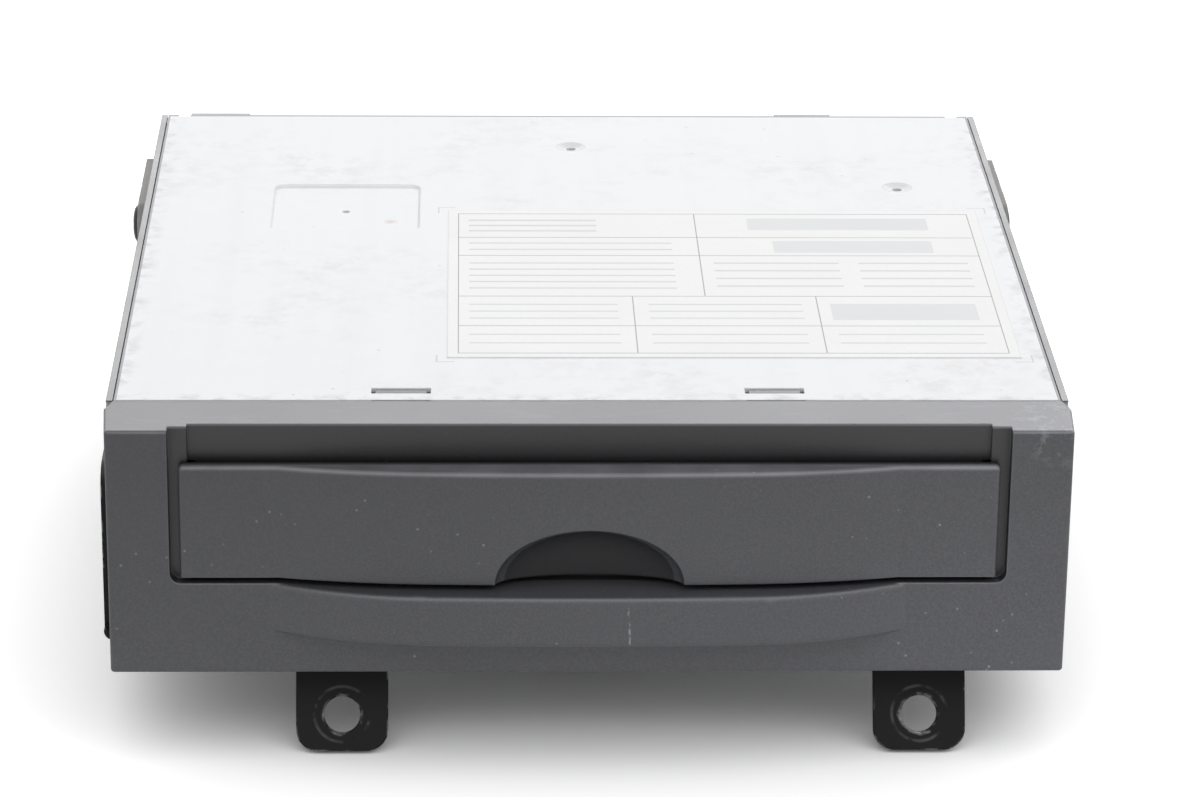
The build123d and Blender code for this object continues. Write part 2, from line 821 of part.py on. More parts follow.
def tab_plane(x, bend_y, facing):
    """Plane of a tab's outer face: its y runs up the tab to the bend, its z faces away from the case."""
    lean = radians(tab_lean)
    return Plane(origin=(x, bend_y, base_z), x_dir=(-facing, 0, 0), z_dir=(0, facing * cos(lean), sin(lean)))


with BuildPart() as mounting_cradle:
    block((-outer_half, outer_half), (cradle_front, cradle_rear), (cradle_low, base_z))
    for side in (-1, 1):
        with BuildSketch(Plane.XY.offset(base_z)):
            with Locations((side * window_x, (cradle_front + cradle_rear) / 2)):
                RectangleRounded(window_width, window_length, window_corner)
        extrude(amount=-cradle_sheet, mode=Mode.SUBTRACT)
    for side, setback in ((-1, left_plate_setback), (1, right_plate_setback)):
        plate_front = front_y + setback
        with BuildSketch(side_plane(side * half_case, 0, 0)) as plate_side:
            with BuildLine():
                Polyline((plate_front, cradle_low), (plate_front, base_z + plate_height),
                         (plate_rear - ear_length, base_z + plate_height),
                         (plate_rear - ear_length, base_z + ear_height), (plate_rear, base_z + ear_height),
                         (plate_rear, cradle_low), close=True)
            make_face()
            corners = plate_side.vertices().filter_by(lambda corner: corner.Y > base_z)
            fillet(corners, plate_corner)
        extrude(amount=side * cradle_sheet)
        for y, z in cradle_screw_spots:
            bar((side * half_case, y, z), (side, 0, 0), screw_radius + screw_clearance, cradle_sheet,
                mode=Mode.SUBTRACT)
    low_edges = mounting_cradle.faces().sort_by(Axis.Z)[0].edges().filter_by(Axis.Y)
    fillet(low_edges.filter_by(lambda edge: abs(edge.center().X) > half_case), cradle_bend)
    for bend_y, facing in tab_bends:
        for x in (tab_left_x, tab_right_x):
            block(span(x, tab_width), sorted((bend_y, bend_y - facing * tab_tongue)), (cradle_low, base_z))
            with BuildSketch(tab_plane(x, bend_y, facing)) as leaf:
                with Locations((0, -tab_length / 2)):
                    Rectangle(tab_width, tab_length)
                fillet(leaf.vertices().group_by(Axis.Y)[0], tab_corner)
                with Locations((0, -tab_hole_from_bend)):
                    Circle(tab_hole_radius, mode=Mode.SUBTRACT)
            extrude(amount=-cradle_sheet)

# Screws that hold the case in the cradle
with BuildPart() as cradle_screws:
    for side in (-1, 1):
        for y, z in cradle_screw_spots:
            bar((side * (inner_half - screw_inside), y, z), (side, 0, 0), screw_radius,
                outer_half - inner_half + screw_inside)
            bar((side * outer_half, y, z), (side, 0, 0), screw_head_radius, screw_head)

# Rear panel with its cut-outs, vents and two upper tabs
main_socket_z = (main_board_top, main_board_top + main_socket_height)
video_socket_z = (main_board_top, main_board_top + video_socket_height)
antenna_z = main_board_top + antenna_radius
with BuildPart() as rear_panel:
    block((-half_case + panel_border, half_case - panel_border), (panel_y, panel_y + sheet),
          (base_z + panel_border, top_z - panel_top_gap))
    for tab_x in panel_tabs:
        block(tab_x, (panel_y, panel_y + sheet), (top_z - panel_tab_height, top_z - panel_tab_gap))
    for x, width, z in ((main_socket_x, main_socket_width, main_socket_z),
                        (video_socket_x, video_socket_width, video_socket_z)):
        block(span(x, width + 2 * socket_gap), (panel_y, panel_y + sheet),
              (z[0] - socket_gap, z[1] + socket_gap), mode=Mode.SUBTRACT)
    for x in antenna_xs:
        bar((x, panel_y, antenna_z), (0, 1, 0), antenna_radius + socket_gap, sheet, mode=Mode.SUBTRACT)
    with BuildSketch(front_plane(panel_y + sheet)):
        with Locations((0, base_z + vent_level)):
            with GridLocations(vent_pitch, 1, vent_count, 1):
                SlotOverall(vent_height, vent_width, rotation=90)
    extrude(amount=sheet, mode=Mode.SUBTRACT)
    for x, z in panel_screw_spots:
        bar((x, panel_y, z), (0, 1, 0), panel_screw_radius + screw_clearance, sheet, mode=Mode.SUBTRACT)
with BuildPart() as rear_panel_screws:
    for x, z in panel_screw_spots:
        bar((x, rear_y - sheet - panel_screw_inside, z), (0, 1, 0), panel_screw_radius,
            panel_screw_inside + sheet + seam + sheet)
        bar((x, panel_y + sheet, z), (0, 1, 0), panel_screw_head_radius, panel_screw_head)

# Main board on its standoffs, with an insulating sheet under it
board_half = main_board_width / 2
board_middle_y = sum(main_board_y) / 2
standoff_spots = tuple(
    (side * (board_half - standoff_inset), y)
    for side in (-1, 1)
    for y in (main_board_y[0] + standoff_inset, board_middle_y, main_board_y[1] - standoff_inset)
)
with BuildPart() as insulator_sheet:
    block((-board_half, board_half), main_board_y, (floor_z, floor_z + insulator_thick))
    for x, y in standoff_spots:
        bar((x, y, floor_z), (0, 0, 1), standoff_radius + standoff_clearance, insulator_thick,
            mode=Mode.SUBTRACT)
with BuildPart() as board_standoffs:
    for x, y in standoff_spots:
        bar((x, y, floor_z), (0, 0, 1), standoff_radius, standoff_height)
        bar((x, y, floor_z), (0, 0, 1), board_screw_radius + thread_clearance, standoff_height,
            mode=Mode.SUBTRACT)
with BuildPart() as main_board:
    block((-board_half, board_half), main_board_y, (main_board_z, main_board_top))
    for x, y in standoff_spots:
        bar((x, y, main_board_z), (0, 0, 1), board_screw_radius + board_screw_clearance, board_thick,
            mode=Mode.SUBTRACT)
with BuildPart() as board_screws:
    for x, y in standoff_spots:
        bar((x, y, floor_z + board_screw_lift), (0, 0, 1), board_screw_radius,
            standoff_height + board_thick - board_screw_lift)
        bar((x, y, main_board_top), (0, 0, 1), board_screw_head_radius, board_screw_head)

# Chips on the main board: column and row of the middle, then width, length and height in package units
board_column = main_board_width / board_columns
board_row = main_board_length / board_rows
chips = (
    (-20, 36, 27.0, 27.0, 2.4),
    (20, 31, 20.0, 14.0, 1.2),
    (20, 51, 20.0, 14.0, 1.2),
    (-48, 76, 22.0, 22.0, 2.0),
    (-12, 76, 16.0, 16.0, 1.6),
    (46, 36, 14.0, 10.0, 1.4),
    (-50, 31, 12.0, 18.0, 1.6),
)
with BuildPart() as board_chips:
    for column, row, width, length, height in chips:
        block(span(column * board_column, width * package_unit),
              span(main_board_y[0] + row * board_row, length * package_unit),
              (main_board_top, main_board_top + height * package_unit))

# Capacitors: column and row of the middle, then radius and height in package units
cans = (
    (-60, 116, 5.0, 8.5),
    (-47, 116, 5.0, 8.5),
    (-34, 116, 4.0, 8.0),
    (58, 76, 4.0, 7.0),
    (58, 88, 4.0, 7.0),
    (-62, 54, 3.2, 6.0),
)
with BuildPart() as capacitors:
    for column, row, radius, height in cans:
        bar((column * board_column, main_board_y[0] + row * board_row, main_board_top), (0, 0, 1),
            radius * package_unit, height * package_unit)
with BuildPart() as shield_can:
    can_y = front_y + can_setback
    block(span(can_x, can_width), span(can_y, can_length), (main_board_top, main_board_top + can_height))
    block(span(can_x, can_width - 2 * can_wall), span(can_y, can_length - 2 * can_wall),
          (main_board_top, main_board_top + can_height - can_wall), mode=Mode.SUBTRACT)
with BuildPart() as gyro_sensor:
    block(span(gyro_x, gyro_width), span(front_y + gyro_setback, gyro_length),
          (main_board_top, main_board_top + gyro_height))

# Rear sockets, soldered to the board's back edge and reaching through the panel
socket_front_y = sockets_y - socket_length
pin_spots = tuple(
    (main_socket_x + (column - (pin_columns - 1) / 2) * pin_pitch,
     sum(main_socket_z) / 2 + (row - (pin_rows - 1) / 2) * pin_row_pitch)
    for column in range(pin_columns)
    for row in range(pin_rows)
)
pin_y = (socket_front_y, sockets_y - socket_depth + pin_reach)
pin_hole = pin_size + 2 * pin_clearance
with BuildPart() as main_connector:
    block(span(main_socket_x, main_socket_width), (socket_front_y, sockets_y), main_socket_z)
    block(span(main_socket_x, main_socket_width - 2 * socket_wall), (sockets_y - socket_depth, sockets_y),
          (main_socket_z[0] + socket_wall, main_socket_z[1] - socket_wall), mode=Mode.SUBTRACT)
    for x, z in pin_spots:
        block(span(x, pin_hole), (socket_front_y, sockets_y - socket_depth), span(z, pin_hole),
              mode=Mode.SUBTRACT)
with BuildPart() as connector_pins:
    for x, z in pin_spots:
        block(span(x, pin_size), pin_y, span(z, pin_size))
antenna_body_y = panel_y - antenna_body_gap
with BuildPart() as antenna_sockets:
    for x in antenna_xs:
        block(span(x, 2 * antenna_radius), (socket_front_y, antenna_body_y),
              span(antenna_z, 2 * antenna_radius))
        bar((x, antenna_body_y, antenna_z), (0, 1, 0), antenna_radius, sockets_y - antenna_body_y)
        bar((x, sockets_y, antenna_z), (0, -1, 0), antenna_bore, socket_depth, mode=Mode.SUBTRACT)
        bar((x, socket_front_y, antenna_z), (0, 1, 0), antenna_contact_radius + pin_clearance, socket_length,
            mode=Mode.SUBTRACT)
with BuildPart() as antenna_contacts:
    for x in antenna_xs:
        bar((x, socket_front_y, antenna_z), (0, 1, 0), antenna_contact_radius,
            socket_length - socket_depth + pin_reach)
with BuildPart() as video_socket:
    block(span(video_socket_x, video_socket_width), (socket_front_y, sockets_y), video_socket_z)
    block(span(video_socket_x, video_socket_width - 2 * socket_wall), (sockets_y - socket_depth, sockets_y),
          (video_socket_z[0] + socket_wall, video_socket_z[1] - socket_wall), mode=Mode.SUBTRACT)

# Posts, rubber dampers and screws that carry the drive
post_spots = tuple((side * post_x, front_y + y) for side in (-1, 1) for y in drive_ear_y)
damper_low = ear_z - damper_flange
damper_high = ear_z + sheet + damper_flange
with BuildPart() as drive_posts:
    for x, y in post_spots:
        bar((x, y, floor_z), (0, 0, 1), post_radius, damper_low - floor_z)
        bar((x, y, damper_low), (0, 0, 1), post_neck_radius, damper_high - damper_low)
        bar((x, y, damper_high), (0, 0, -1), post_bore_radius, post_bore_depth, mode=Mode.SUBTRACT)
with BuildPart() as rubber_dampers:
    for x, y in post_spots:
        with BuildSketch(Plane(origin=(x, y, 0), x_dir=(1, 0, 0), z_dir=(0, -1, 0))):
            with BuildLine():
                bore = post_neck_radius + damper_clearance
                rim_radius = damper_radius - damper_edge
                groove_low = ear_z - damper_clearance
                groove_high = ear_z + sheet + damper_clearance
                Polyline((bore, damper_low), (rim_radius, damper_low),
                         (damper_radius, damper_low + damper_edge),
                         (damper_radius, groove_low), (damper_groove_radius, groove_low),
                         (damper_groove_radius, groove_high), (damper_radius, groove_high),
                         (damper_radius, damper_high - damper_edge), (rim_radius, damper_high),
                         (bore, damper_high), close=True)
            make_face()
        revolve(axis=Axis((x, y, 0), (0, 0, 1)))
with BuildPart() as drive_screws:
    for x, y in post_spots:
        bar((x, y, damper_high), (0, 0, -1), post_bore_radius - thread_clearance, drive_screw_length)
        bar((x, y, damper_high), (0, 0, 1), drive_screw_head_radius, drive_screw_head)

# Drive frame: an open tray with ears
roller_y = front_y + roller_setback
roller_axis_z = passage_low - roller_drop - roller_radius
train_distance = gear_module * (roller_teeth + idler_teeth) / 2
pivot_z = base_z + arm_pivot_level
pivot_y = roller_y + sqrt(train_distance**2 - (pivot_z - roller_axis_z) ** 2)
pinion_distance = gear_module * (idler_teeth + pinion_teeth) / 2
pinion_y = pivot_y + pinion_distance * cos(radians(pinion_angle))
pinion_z = pivot_z + pinion_distance * sin(radians(pinion_angle))
drive_wall_x = drive_half - sheet
gear_x = (arm_span / 2 + gear_side_gap, arm_span / 2 + gear_side_gap + gear_face)
frame_top = drive_top - cover_sheet
top_screw_x = drive_half - top_screw_inset
top_screw_spots = tuple(
    (side, drive_y[0] + setback) for side in (-1, 1) for setback in top_screw_setbacks
)
with BuildPart() as drive_frame:
    block((-drive_half, drive_half), drive_y, (drive_z, frame_top))
    block((-drive_wall_x, drive_wall_x), (drive_y[0], drive_y[1] - sheet), (drive_z + sheet, frame_top),
          mode=Mode.SUBTRACT)
    for side in (-1, 1):
        for y in drive_ear_y:
            block(sorted((side * drive_half, side * (post_x + damper_radius))),
                  span(front_y + y, drive_ear_width), (ear_z, ear_z + sheet))
            bar((side * post_x, front_y + y, ear_z), (0, 0, 1), damper_groove_radius + damper_ear_clearance,
                sheet, mode=Mode.SUBTRACT)
    for side, y in top_screw_spots:
        block(sorted((side * drive_wall_x, side * (drive_half - frame_lug_reach))), span(y, frame_lug_width),
              (frame_top - sheet, frame_top))
        bar((side * top_screw_x, y, frame_top), (0, 0, -1), top_screw_radius + top_screw_clearance, sheet,
            mode=Mode.SUBTRACT)

# Drive top plate, with the ears of the clamp's pivot
clamp_y = front_y + clamp_pivot_setback
clamp_z = base_z + clamp_pivot_level
with BuildPart() as drive_top_plate:
    block((-drive_half, drive_half), drive_y, (frame_top, drive_top))
    with BuildSketch(Plane.XY.offset(drive_top)):
        with Locations((0, spindle_y)):
            Circle(clamp_window_radius)
    extrude(amount=-cover_sheet, mode=Mode.SUBTRACT)
    for side in (-1, 1):
        ear_low_x = side * (clamp_barrel_length / 2 + ear_gap)
        block(sorted((ear_low_x, ear_low_x + side * ear_thick)),
              (clamp_y - clamp_ear_half, drive_y[1] - sheet - clamp_ear_gap),
              (clamp_z - clamp_ear_half, frame_top))
        bar((ear_low_x - side * cut_over, clamp_y, clamp_z), (side, 0, 0), clamp_pin_radius + clamp_pin_fit,
            ear_thick + 2 * cut_over, mode=Mode.SUBTRACT)
    for side, y in top_screw_spots:
        bar((side * top_screw_x, y, drive_top), (0, 0, -1), top_screw_radius + top_screw_clearance,
            cover_sheet, mode=Mode.SUBTRACT)
with BuildPart() as top_plate_screws:
    for side, y in top_screw_spots:
        bar((side * top_screw_x, y, drive_top), (0, 0, -1), top_screw_radius, cover_sheet + sheet + cut_over)
        bar((side * top_screw_x, y, drive_top), (0, 0, 1), top_screw_head_radius, top_screw_head)

# Disc guide above the passage, hung from the top plate
with BuildPart() as disc_guide:
    block(felt_x, span(roller_y, guide_block_length), (passage_high, passage_high + guide_block_thick))
    for x in guide_post_xs:
        block(span(x, guide_post_size), span(roller_y, guide_post_size), (passage_high, frame_top))

# Studs in the frame's walls that carry the roller arm and the idler gear
with BuildPart() as roller_arm_studs:
    for side in (-1, 1):
        bar((side * drive_wall_x, pivot_y, pivot_z), (-side, 0, 0), stud_radius,
            drive_wall_x - arm_span / 2 + arm_sheet + stud_proud)

# Roller arm: two cheeks and a cross plate that swing about the studs and carry the loading motor
def link(end):
    """Add a round-ended strip, in the y-z plane, from the arm's pivot to another (y, z) point."""
    SlotCenterPoint(((pivot_y + end[0]) / 2, (pivot_z + end[1]) / 2), end, 2 * arm_plate_radius)


with BuildPart() as roller_arm:
    for side in (-1, 1):
        inner_x = side * (arm_span / 2 - arm_sheet)
        with BuildSketch(side_plane(inner_x, 0, 0)):
            link((roller_y, roller_axis_z))
            if side > 0:
                link((pinion_y, pinion_z))
        extrude(amount=side * arm_sheet)
        bar((inner_x, roller_y, roller_axis_z), (side, 0, 0), roller_shaft_radius + running_clearance,
            arm_sheet, mode=Mode.SUBTRACT)
        bar((inner_x, pivot_y, pivot_z), (side, 0, 0), stud_radius + running_clearance, arm_sheet,
            mode=Mode.SUBTRACT)
    bar((arm_span / 2, pinion_y, pinion_z), (-1, 0, 0), pinion_shaft_radius + running_clearance, arm_sheet,
        mode=Mode.SUBTRACT)
    block(span(0, arm_span - arm_sheet), span((roller_y + pivot_y) / 2 + arm_bridge_offset, arm_bridge_width),
          span(pivot_z - arm_bridge_drop, arm_sheet))

# Feed roller, its shaft and gear
with BuildPart() as roller_shaft:
    shaft_start = -arm_span / 2 - roller_shaft_proud
    bar((shaft_start, roller_y, roller_axis_z), (1, 0, 0), roller_shaft_radius, gear_x[1] - shaft_start)
with BuildPart() as feed_roller:
    with BuildSketch(Plane.XY.offset(roller_axis_z)):
        with BuildLine():
            shaft_edge = roller_y + roller_shaft_radius
            Polyline((-roller_length / 2, shaft_edge), (-roller_length / 2, roller_y + roller_radius),
                     (0, roller_y + roller_waist_radius), (roller_length / 2, roller_y + roller_radius),
                     (roller_length / 2, shaft_edge), close=True)
        make_face()
    revolve(axis=Axis((0, roller_y, roller_axis_z), (1, 0, 0)))
roller_line = degrees(atan2(roller_axis_z - pivot_z, roller_y - pivot_y))
roller_phase = mesh_phase(roller_line, roller_line, idler_teeth, roller_teeth)
pinion_phase = mesh_phase(pinion_angle, roller_line, idler_teeth, pinion_teeth)
with BuildPart() as roller_gear:
    with BuildSketch(side_plane(gear_x[0], roller_y, roller_axis_z)):
        Polygon(*gear_outline(roller_teeth, roller_phase), align=None)
        Circle(roller_shaft_radius, mode=Mode.SUBTRACT)
    extrude(amount=gear_face)
with BuildPart() as idler_gear:
    with BuildSketch(side_plane(gear_x[0], pivot_y, pivot_z)):
        Polygon(*gear_outline(idler_teeth, roller_line), align=None)
        Circle(stud_radius + running_clearance, mode=Mode.SUBTRACT)
    extrude(amount=gear_face)
with BuildPart() as loading_pinion:
    with BuildSketch(side_plane(gear_x[0], pinion_y, pinion_z)):
        Polygon(*gear_outline(pinion_teeth, pinion_phase), align=None)
    extrude(amount=gear_face)
    bar((gear_x[0], pinion_y, pinion_z), (-1, 0, 0), pinion_shaft_radius, pinion_shaft_length)
motor_end_x = arm_span / 2 - arm_sheet
with BuildPart() as loading_motor:
    bar((motor_end_x, pinion_y, pinion_z), (-1, 0, 0), loading_motor_radius, loading_motor_length)
    bar((motor_end_x, pinion_y, pinion_z), (-1, 0, 0), pinion_shaft_radius + running_clearance,
        pinion_shaft_length - gear_side_gap - arm_sheet + shaft_end_gap, mode=Mode.SUBTRACT)

# Traverse deck on its spacers
deck_y = (front_y + deck_setback, front_y + deck_setback + deck_length)
deck_half = deck_width / 2
deck_spots = tuple(
    (side * (deck_half - deck_spacer_inset), y)
    for side in (-1, 1)
    for y in (deck_y[0] + deck_spacer_inset, deck_y[1] - deck_spacer_inset)
)
deck_top = deck_z + sheet
rod_z = base_z + rod_level
rod_ys = (spindle_y - rod_spacing / 2, spindle_y + rod_spacing / 2)
with BuildPart() as deck_spacers:
    for x, y in deck_spots:
        bar((x, y, drive_z + sheet), (0, 0, 1), deck_spacer_radius, deck_z - drive_z - sheet)
with BuildPart() as traverse_deck:
    block((-deck_half, deck_half), deck_y, (deck_z, deck_top))
    block((deck_window_start, deck_half - deck_window_border), span(spindle_y, deck_window_length),
          (deck_z, deck_top), mode=Mode.SUBTRACT)
    for y in rod_ys:
        for x in (rod_start, rod_start + rod_length - rod_post_thick):
            block((x, x + rod_post_thick), span(y, rod_post_width), (deck_top, rod_z + rod_post_cap))
            bar((x, y, rod_z), (1, 0, 0), rod_radius + rod_fit, rod_post_thick, mode=Mode.SUBTRACT)

# Spindle motor and turntable
with BuildPart() as spindle_motor:
    bar((0, spindle_y, deck_top), (0, 0, 1), spindle_motor_radius, spindle_motor_height)
    bar((0, spindle_y, deck_top + spindle_bore_level), (0, 0, 1), spindle_shaft_radius + running_clearance,
        spindle_motor_height, mode=Mode.SUBTRACT)
table_low = seat_z - turntable_thick
with BuildPart() as turntable:
    bar((0, spindle_y, table_low), (0, 0, 1), turntable_radius, turntable_thick)
    with Locations((0, spindle_y, seat_z + turntable_cone_height / 2)):
        Cone(turntable_cone_radius, turntable_cone_radius - turntable_cone_taper, turntable_cone_height)
    bar((0, spindle_y, table_low), (0, 0, -1), spindle_shaft_radius,
        table_low - deck_top - spindle_bore_level - spindle_end_gap)

# Optical pickup on its rods, moved by a lead screw
with BuildPart() as guide_rods:
    for y in rod_ys:
        bar((rod_start, y, rod_z), (1, 0, 0), rod_radius, rod_length)
lead_y = rod_ys[1] + lead_screw_offset
pickup_x_span = span(pickup_x, pickup_width)
lens_spot = (pickup_x, spindle_y)
pickup_z = (base_z + pickup_low, base_z + pickup_high)
lens_top = pickup_z[1] + lens_proud
with BuildPart() as optical_pickup:
    block(pickup_x_span, (rod_ys[0] - pickup_side, lead_y + pickup_side), pickup_z)
    block(pickup_x_span, (rod_ys[1] + pickup_side, lead_y + pickup_side),
          (rod_z + pickup_bridge, pickup_z[1]), mode=Mode.SUBTRACT)
    fillet(optical_pickup.edges().filter_by(Axis.Z), pickup_corner)
    for y in rod_ys:
        bar((pickup_x_span[0], y, rod_z), (1, 0, 0), rod_radius + running_clearance, pickup_width,
            mode=Mode.SUBTRACT)
    bar((pickup_x_span[0], lead_y, rod_z), (1, 0, 0), lead_screw_radius + running_clearance, pickup_width,
        mode=Mode.SUBTRACT)
    bar((*lens_spot, lens_top), (0, 0, -1), lens_radius, lens_height, mode=Mode.SUBTRACT)
with BuildPart() as objective_lens:
    bar((*lens_spot, lens_top), (0, 0, -1), lens_radius, lens_height)
    fillet(objective_lens.faces().sort_by(Axis.Z)[-1].edges(), lens_edge)
screw_x = (lead_screw_start, rod_start + rod_length)
with BuildPart() as lead_screw:
    bar((screw_x[0], lead_y, rod_z), (1, 0, 0), lead_screw_radius, screw_x[1] - screw_x[0])
with BuildPart() as sled_motor:
    sled_motor_end = screw_x[0] + sled_motor_overlap
    bar((sled_motor_end, lead_y, rod_z), (-1, 0, 0), sled_motor_radius, sled_motor_length)
    bar((sled_motor_end, lead_y, rod_z), (-1, 0, 0), lead_screw_radius + running_clearance,
        sled_motor_overlap + sled_bore_gap, mode=Mode.SUBTRACT)
    block(sled_foot, span(lead_y, sled_foot_width), (deck_top, rod_z - sled_motor_radius + sled_foot_bite))

# Clamp arm, hinged at the back and drawn at rest, raised clear of the passage
closed_clamp_low = seat_z + clamp_disc_gap
clamp_lift = radians(clamp_open)


def raised(y, z):
    """Where a point of the closed clamp, given by world y and z, lies when the clamp is raised."""
    back, down = clamp_y - y, clamp_z - z
    return (clamp_y - back * cos(clamp_lift) - down * sin(clamp_lift),
            clamp_z + back * sin(clamp_lift) - down * cos(clamp_lift))


clamp_tilt = Vector(0, sin(clamp_lift), cos(clamp_lift))
arm_low = closed_clamp_low + clamp_thick + clamp_end_play
arm_high = arm_low + sheet
arm_bend_y = spindle_y + clamp_radius + clamp_arm_bend
arm_nose_y = spindle_y - clamp_arm_nose
with BuildPart() as clamp_arm:
    with BuildSketch(side_plane(-clamp_arm_width / 2, 0, 0)):
        with BuildLine():
            Polyline(raised(arm_nose_y, arm_low), raised(arm_bend_y, arm_low),
                     raised(clamp_y, clamp_z - clamp_arm_low), raised(clamp_y, clamp_z + clamp_arm_high),
                     raised(arm_bend_y, arm_high), raised(arm_nose_y, arm_high), close=True)
        make_face()
    extrude(amount=clamp_arm_width)
    bar((-clamp_barrel_length / 2, clamp_y, clamp_z), (1, 0, 0), clamp_barrel_radius, clamp_barrel_length)
    bar((-clamp_barrel_length / 2, clamp_y, clamp_z), (1, 0, 0), clamp_pin_radius + running_clearance,
        clamp_barrel_length, mode=Mode.SUBTRACT)
    bar((0, *raised(spindle_y, arm_low - cut_over)), clamp_tilt, clamp_neck_radius + clamp_hole_clearance,
        sheet + 2 * cut_over, mode=Mode.SUBTRACT)
with BuildPart() as clamp_pivot_pin:
    pin_half = clamp_barrel_length / 2 + ear_gap + ear_thick
    bar((-pin_half, clamp_y, clamp_z), (1, 0, 0), clamp_pin_radius, 2 * pin_half)
with BuildPart() as clamp_disc:
    bar((0, *raised(spindle_y, closed_clamp_low)), clamp_tilt, clamp_radius, clamp_thick)
    bar((0, *raised(spindle_y, closed_clamp_low)), clamp_tilt, turntable_cone_radius + clamp_hollow_gap,
        clamp_hollow, mode=Mode.SUBTRACT)
    bar((0, *raised(spindle_y, closed_clamp_low + clamp_thick)), clamp_tilt, clamp_neck_radius,
        sheet + 2 * clamp_end_play)
    bar((0, *raised(spindle_y, arm_high + clamp_end_play)), clamp_tilt, clamp_flange_radius, clamp_flange)

# Drive board under the frame, and the flat cable to the main board
drive_board_y = (front_y + drive_board_setback, front_y + drive_board_setback + drive_board_length)
drive_board_z = (drive_z - pillar_thick - board_thick, drive_z - pillar_thick)
with BuildPart() as drive_board:
    block(span(0, drive_board_width), drive_board_y, drive_board_z)
    for x in (pillar_inset - drive_board_width / 2, drive_board_width / 2 - pillar_inset):
        for y in (drive_board_y[0] + pillar_inset, drive_board_y[1] - pillar_inset):
            bar((x, y, drive_board_z[1]), (0, 0, 1), pillar_radius, pillar_thick)
    block(span(0, cable_socket_width), (drive_board_y[1] - cable_socket_length, drive_board_y[1]),
          (drive_board_z[0] - cable_socket_height, drive_board_z[0]))
with BuildPart() as flat_cables:
    outer_y = drive_board_y[1] + cable_reach
    entry_y = drive_board_y[1] + cable_entry
    cable_high = drive_board_z[0] - cable_level
    cable_low = main_board_top + cable_low_level
    inner_y = outer_y - cable_thick
    inner_high = cable_high - cable_thick
    inner_low = cable_low + cable_thick
    with BuildSketch(side_plane(-cable_width / 2, 0, 0)):
        with BuildLine():
            FilletPolyline((drive_board_y[1], cable_high), (outer_y, cable_high), (outer_y, cable_low),
                           (entry_y, cable_low), radius=cable_bend)
            FilletPolyline((drive_board_y[1], inner_high), (inner_y, inner_high), (inner_y, inner_low),
                           (entry_y, inner_low), radius=cable_bend - cable_thick)
            Line((drive_board_y[1], cable_high), (drive_board_y[1], inner_high))
            Line((entry_y, cable_low), (entry_y, inner_low))
        make_face()
    extrude(amount=cable_width)
    block(span(0, cable_socket_width), (entry_y - cable_socket_length, entry_y),
          (main_board_top, main_board_top + cable_low_socket_height))

pieces = {
    "chassis_case": chassis_case,
    "top_cover": top_cover,
    "label_sheet": label_sheet,
    "front_bezel": front_bezel,
    "sliding_door": sliding_door,
    "door_detent_springs": door_detent_springs,
    "slot_felts": slot_felts,
    "eject_button": eject_button,
    "switch_plunger": switch_plunger,
    "switch_body": switch_body,
    "front_board": front_board,
    "front_board_screws": front_board_screws,
    "mounting_cradle": mounting_cradle,
    "cradle_screws": cradle_screws,
    "rear_panel": rear_panel,
    "rear_panel_screws": rear_panel_screws,
    "insulator_sheet": insulator_sheet,
    "board_standoffs": board_standoffs,
    "main_board": main_board,
    "board_screws": board_screws,
    "board_chips": board_chips,
    "capacitors": capacitors,
    "shield_can": shield_can,
    "gyro_sensor": gyro_sensor,
    "main_connector": main_connector,
    "connector_pins": connector_pins,
    "antenna_sockets": antenna_sockets,
    "antenna_contacts": antenna_contacts,
    "video_socket": video_socket,
    "drive_posts": drive_posts,
    "rubber_dampers": rubber_dampers,
    "drive_screws": drive_screws,
    "drive_frame": drive_frame,
    "drive_top_plate": drive_top_plate,
    "top_plate_screws": top_plate_screws,
    "disc_guide": disc_guide,
    "roller_arm_studs": roller_arm_studs,
    "roller_arm": roller_arm,
    "roller_shaft": roller_shaft,
    "feed_roller": feed_roller,
    "roller_gear": roller_gear,
    "idler_gear": idler_gear,
    "loading_pinion": loading_pinion,
    "loading_motor": loading_motor,
    "deck_spacers": deck_spacers,
    "traverse_deck": traverse_deck,
    "spindle_motor": spindle_motor,
    "turntable": turntable,
    "guide_rods": guide_rods,
    "optical_pickup": optical_pickup,
    "objective_lens": objective_lens,
    "lead_screw": lead_screw,
    "sled_motor": sled_motor,
    "clamp_arm": clamp_arm,
    "clamp_pivot_pin": clamp_pivot_pin,
    "clamp_disc": clamp_disc,
    "drive_board": drive_board,
    "flat_cables": flat_cables,
}
os.makedirs("parts", exist_ok=True)
for node, piece in pieces.items():
    piece.part.label = node
    export_step(piece.part, f"parts/{node}.step")
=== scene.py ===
import json
import math

import bmesh
import bpy
from mathutils import Matrix, Vector


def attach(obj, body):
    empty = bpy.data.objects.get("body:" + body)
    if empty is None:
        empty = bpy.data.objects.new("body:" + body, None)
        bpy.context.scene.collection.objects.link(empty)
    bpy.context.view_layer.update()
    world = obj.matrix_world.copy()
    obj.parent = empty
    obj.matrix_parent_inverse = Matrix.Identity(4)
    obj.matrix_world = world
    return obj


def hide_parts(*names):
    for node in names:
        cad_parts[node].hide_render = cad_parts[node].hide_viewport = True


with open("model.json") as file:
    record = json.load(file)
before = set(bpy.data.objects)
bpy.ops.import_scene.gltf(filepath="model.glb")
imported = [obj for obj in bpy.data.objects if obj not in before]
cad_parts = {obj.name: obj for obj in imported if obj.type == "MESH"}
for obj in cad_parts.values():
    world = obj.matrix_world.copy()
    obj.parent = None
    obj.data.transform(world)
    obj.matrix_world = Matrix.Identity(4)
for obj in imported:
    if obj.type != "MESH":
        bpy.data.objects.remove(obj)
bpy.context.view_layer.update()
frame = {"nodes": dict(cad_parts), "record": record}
nodes = frame["nodes"]
scene = bpy.context.scene

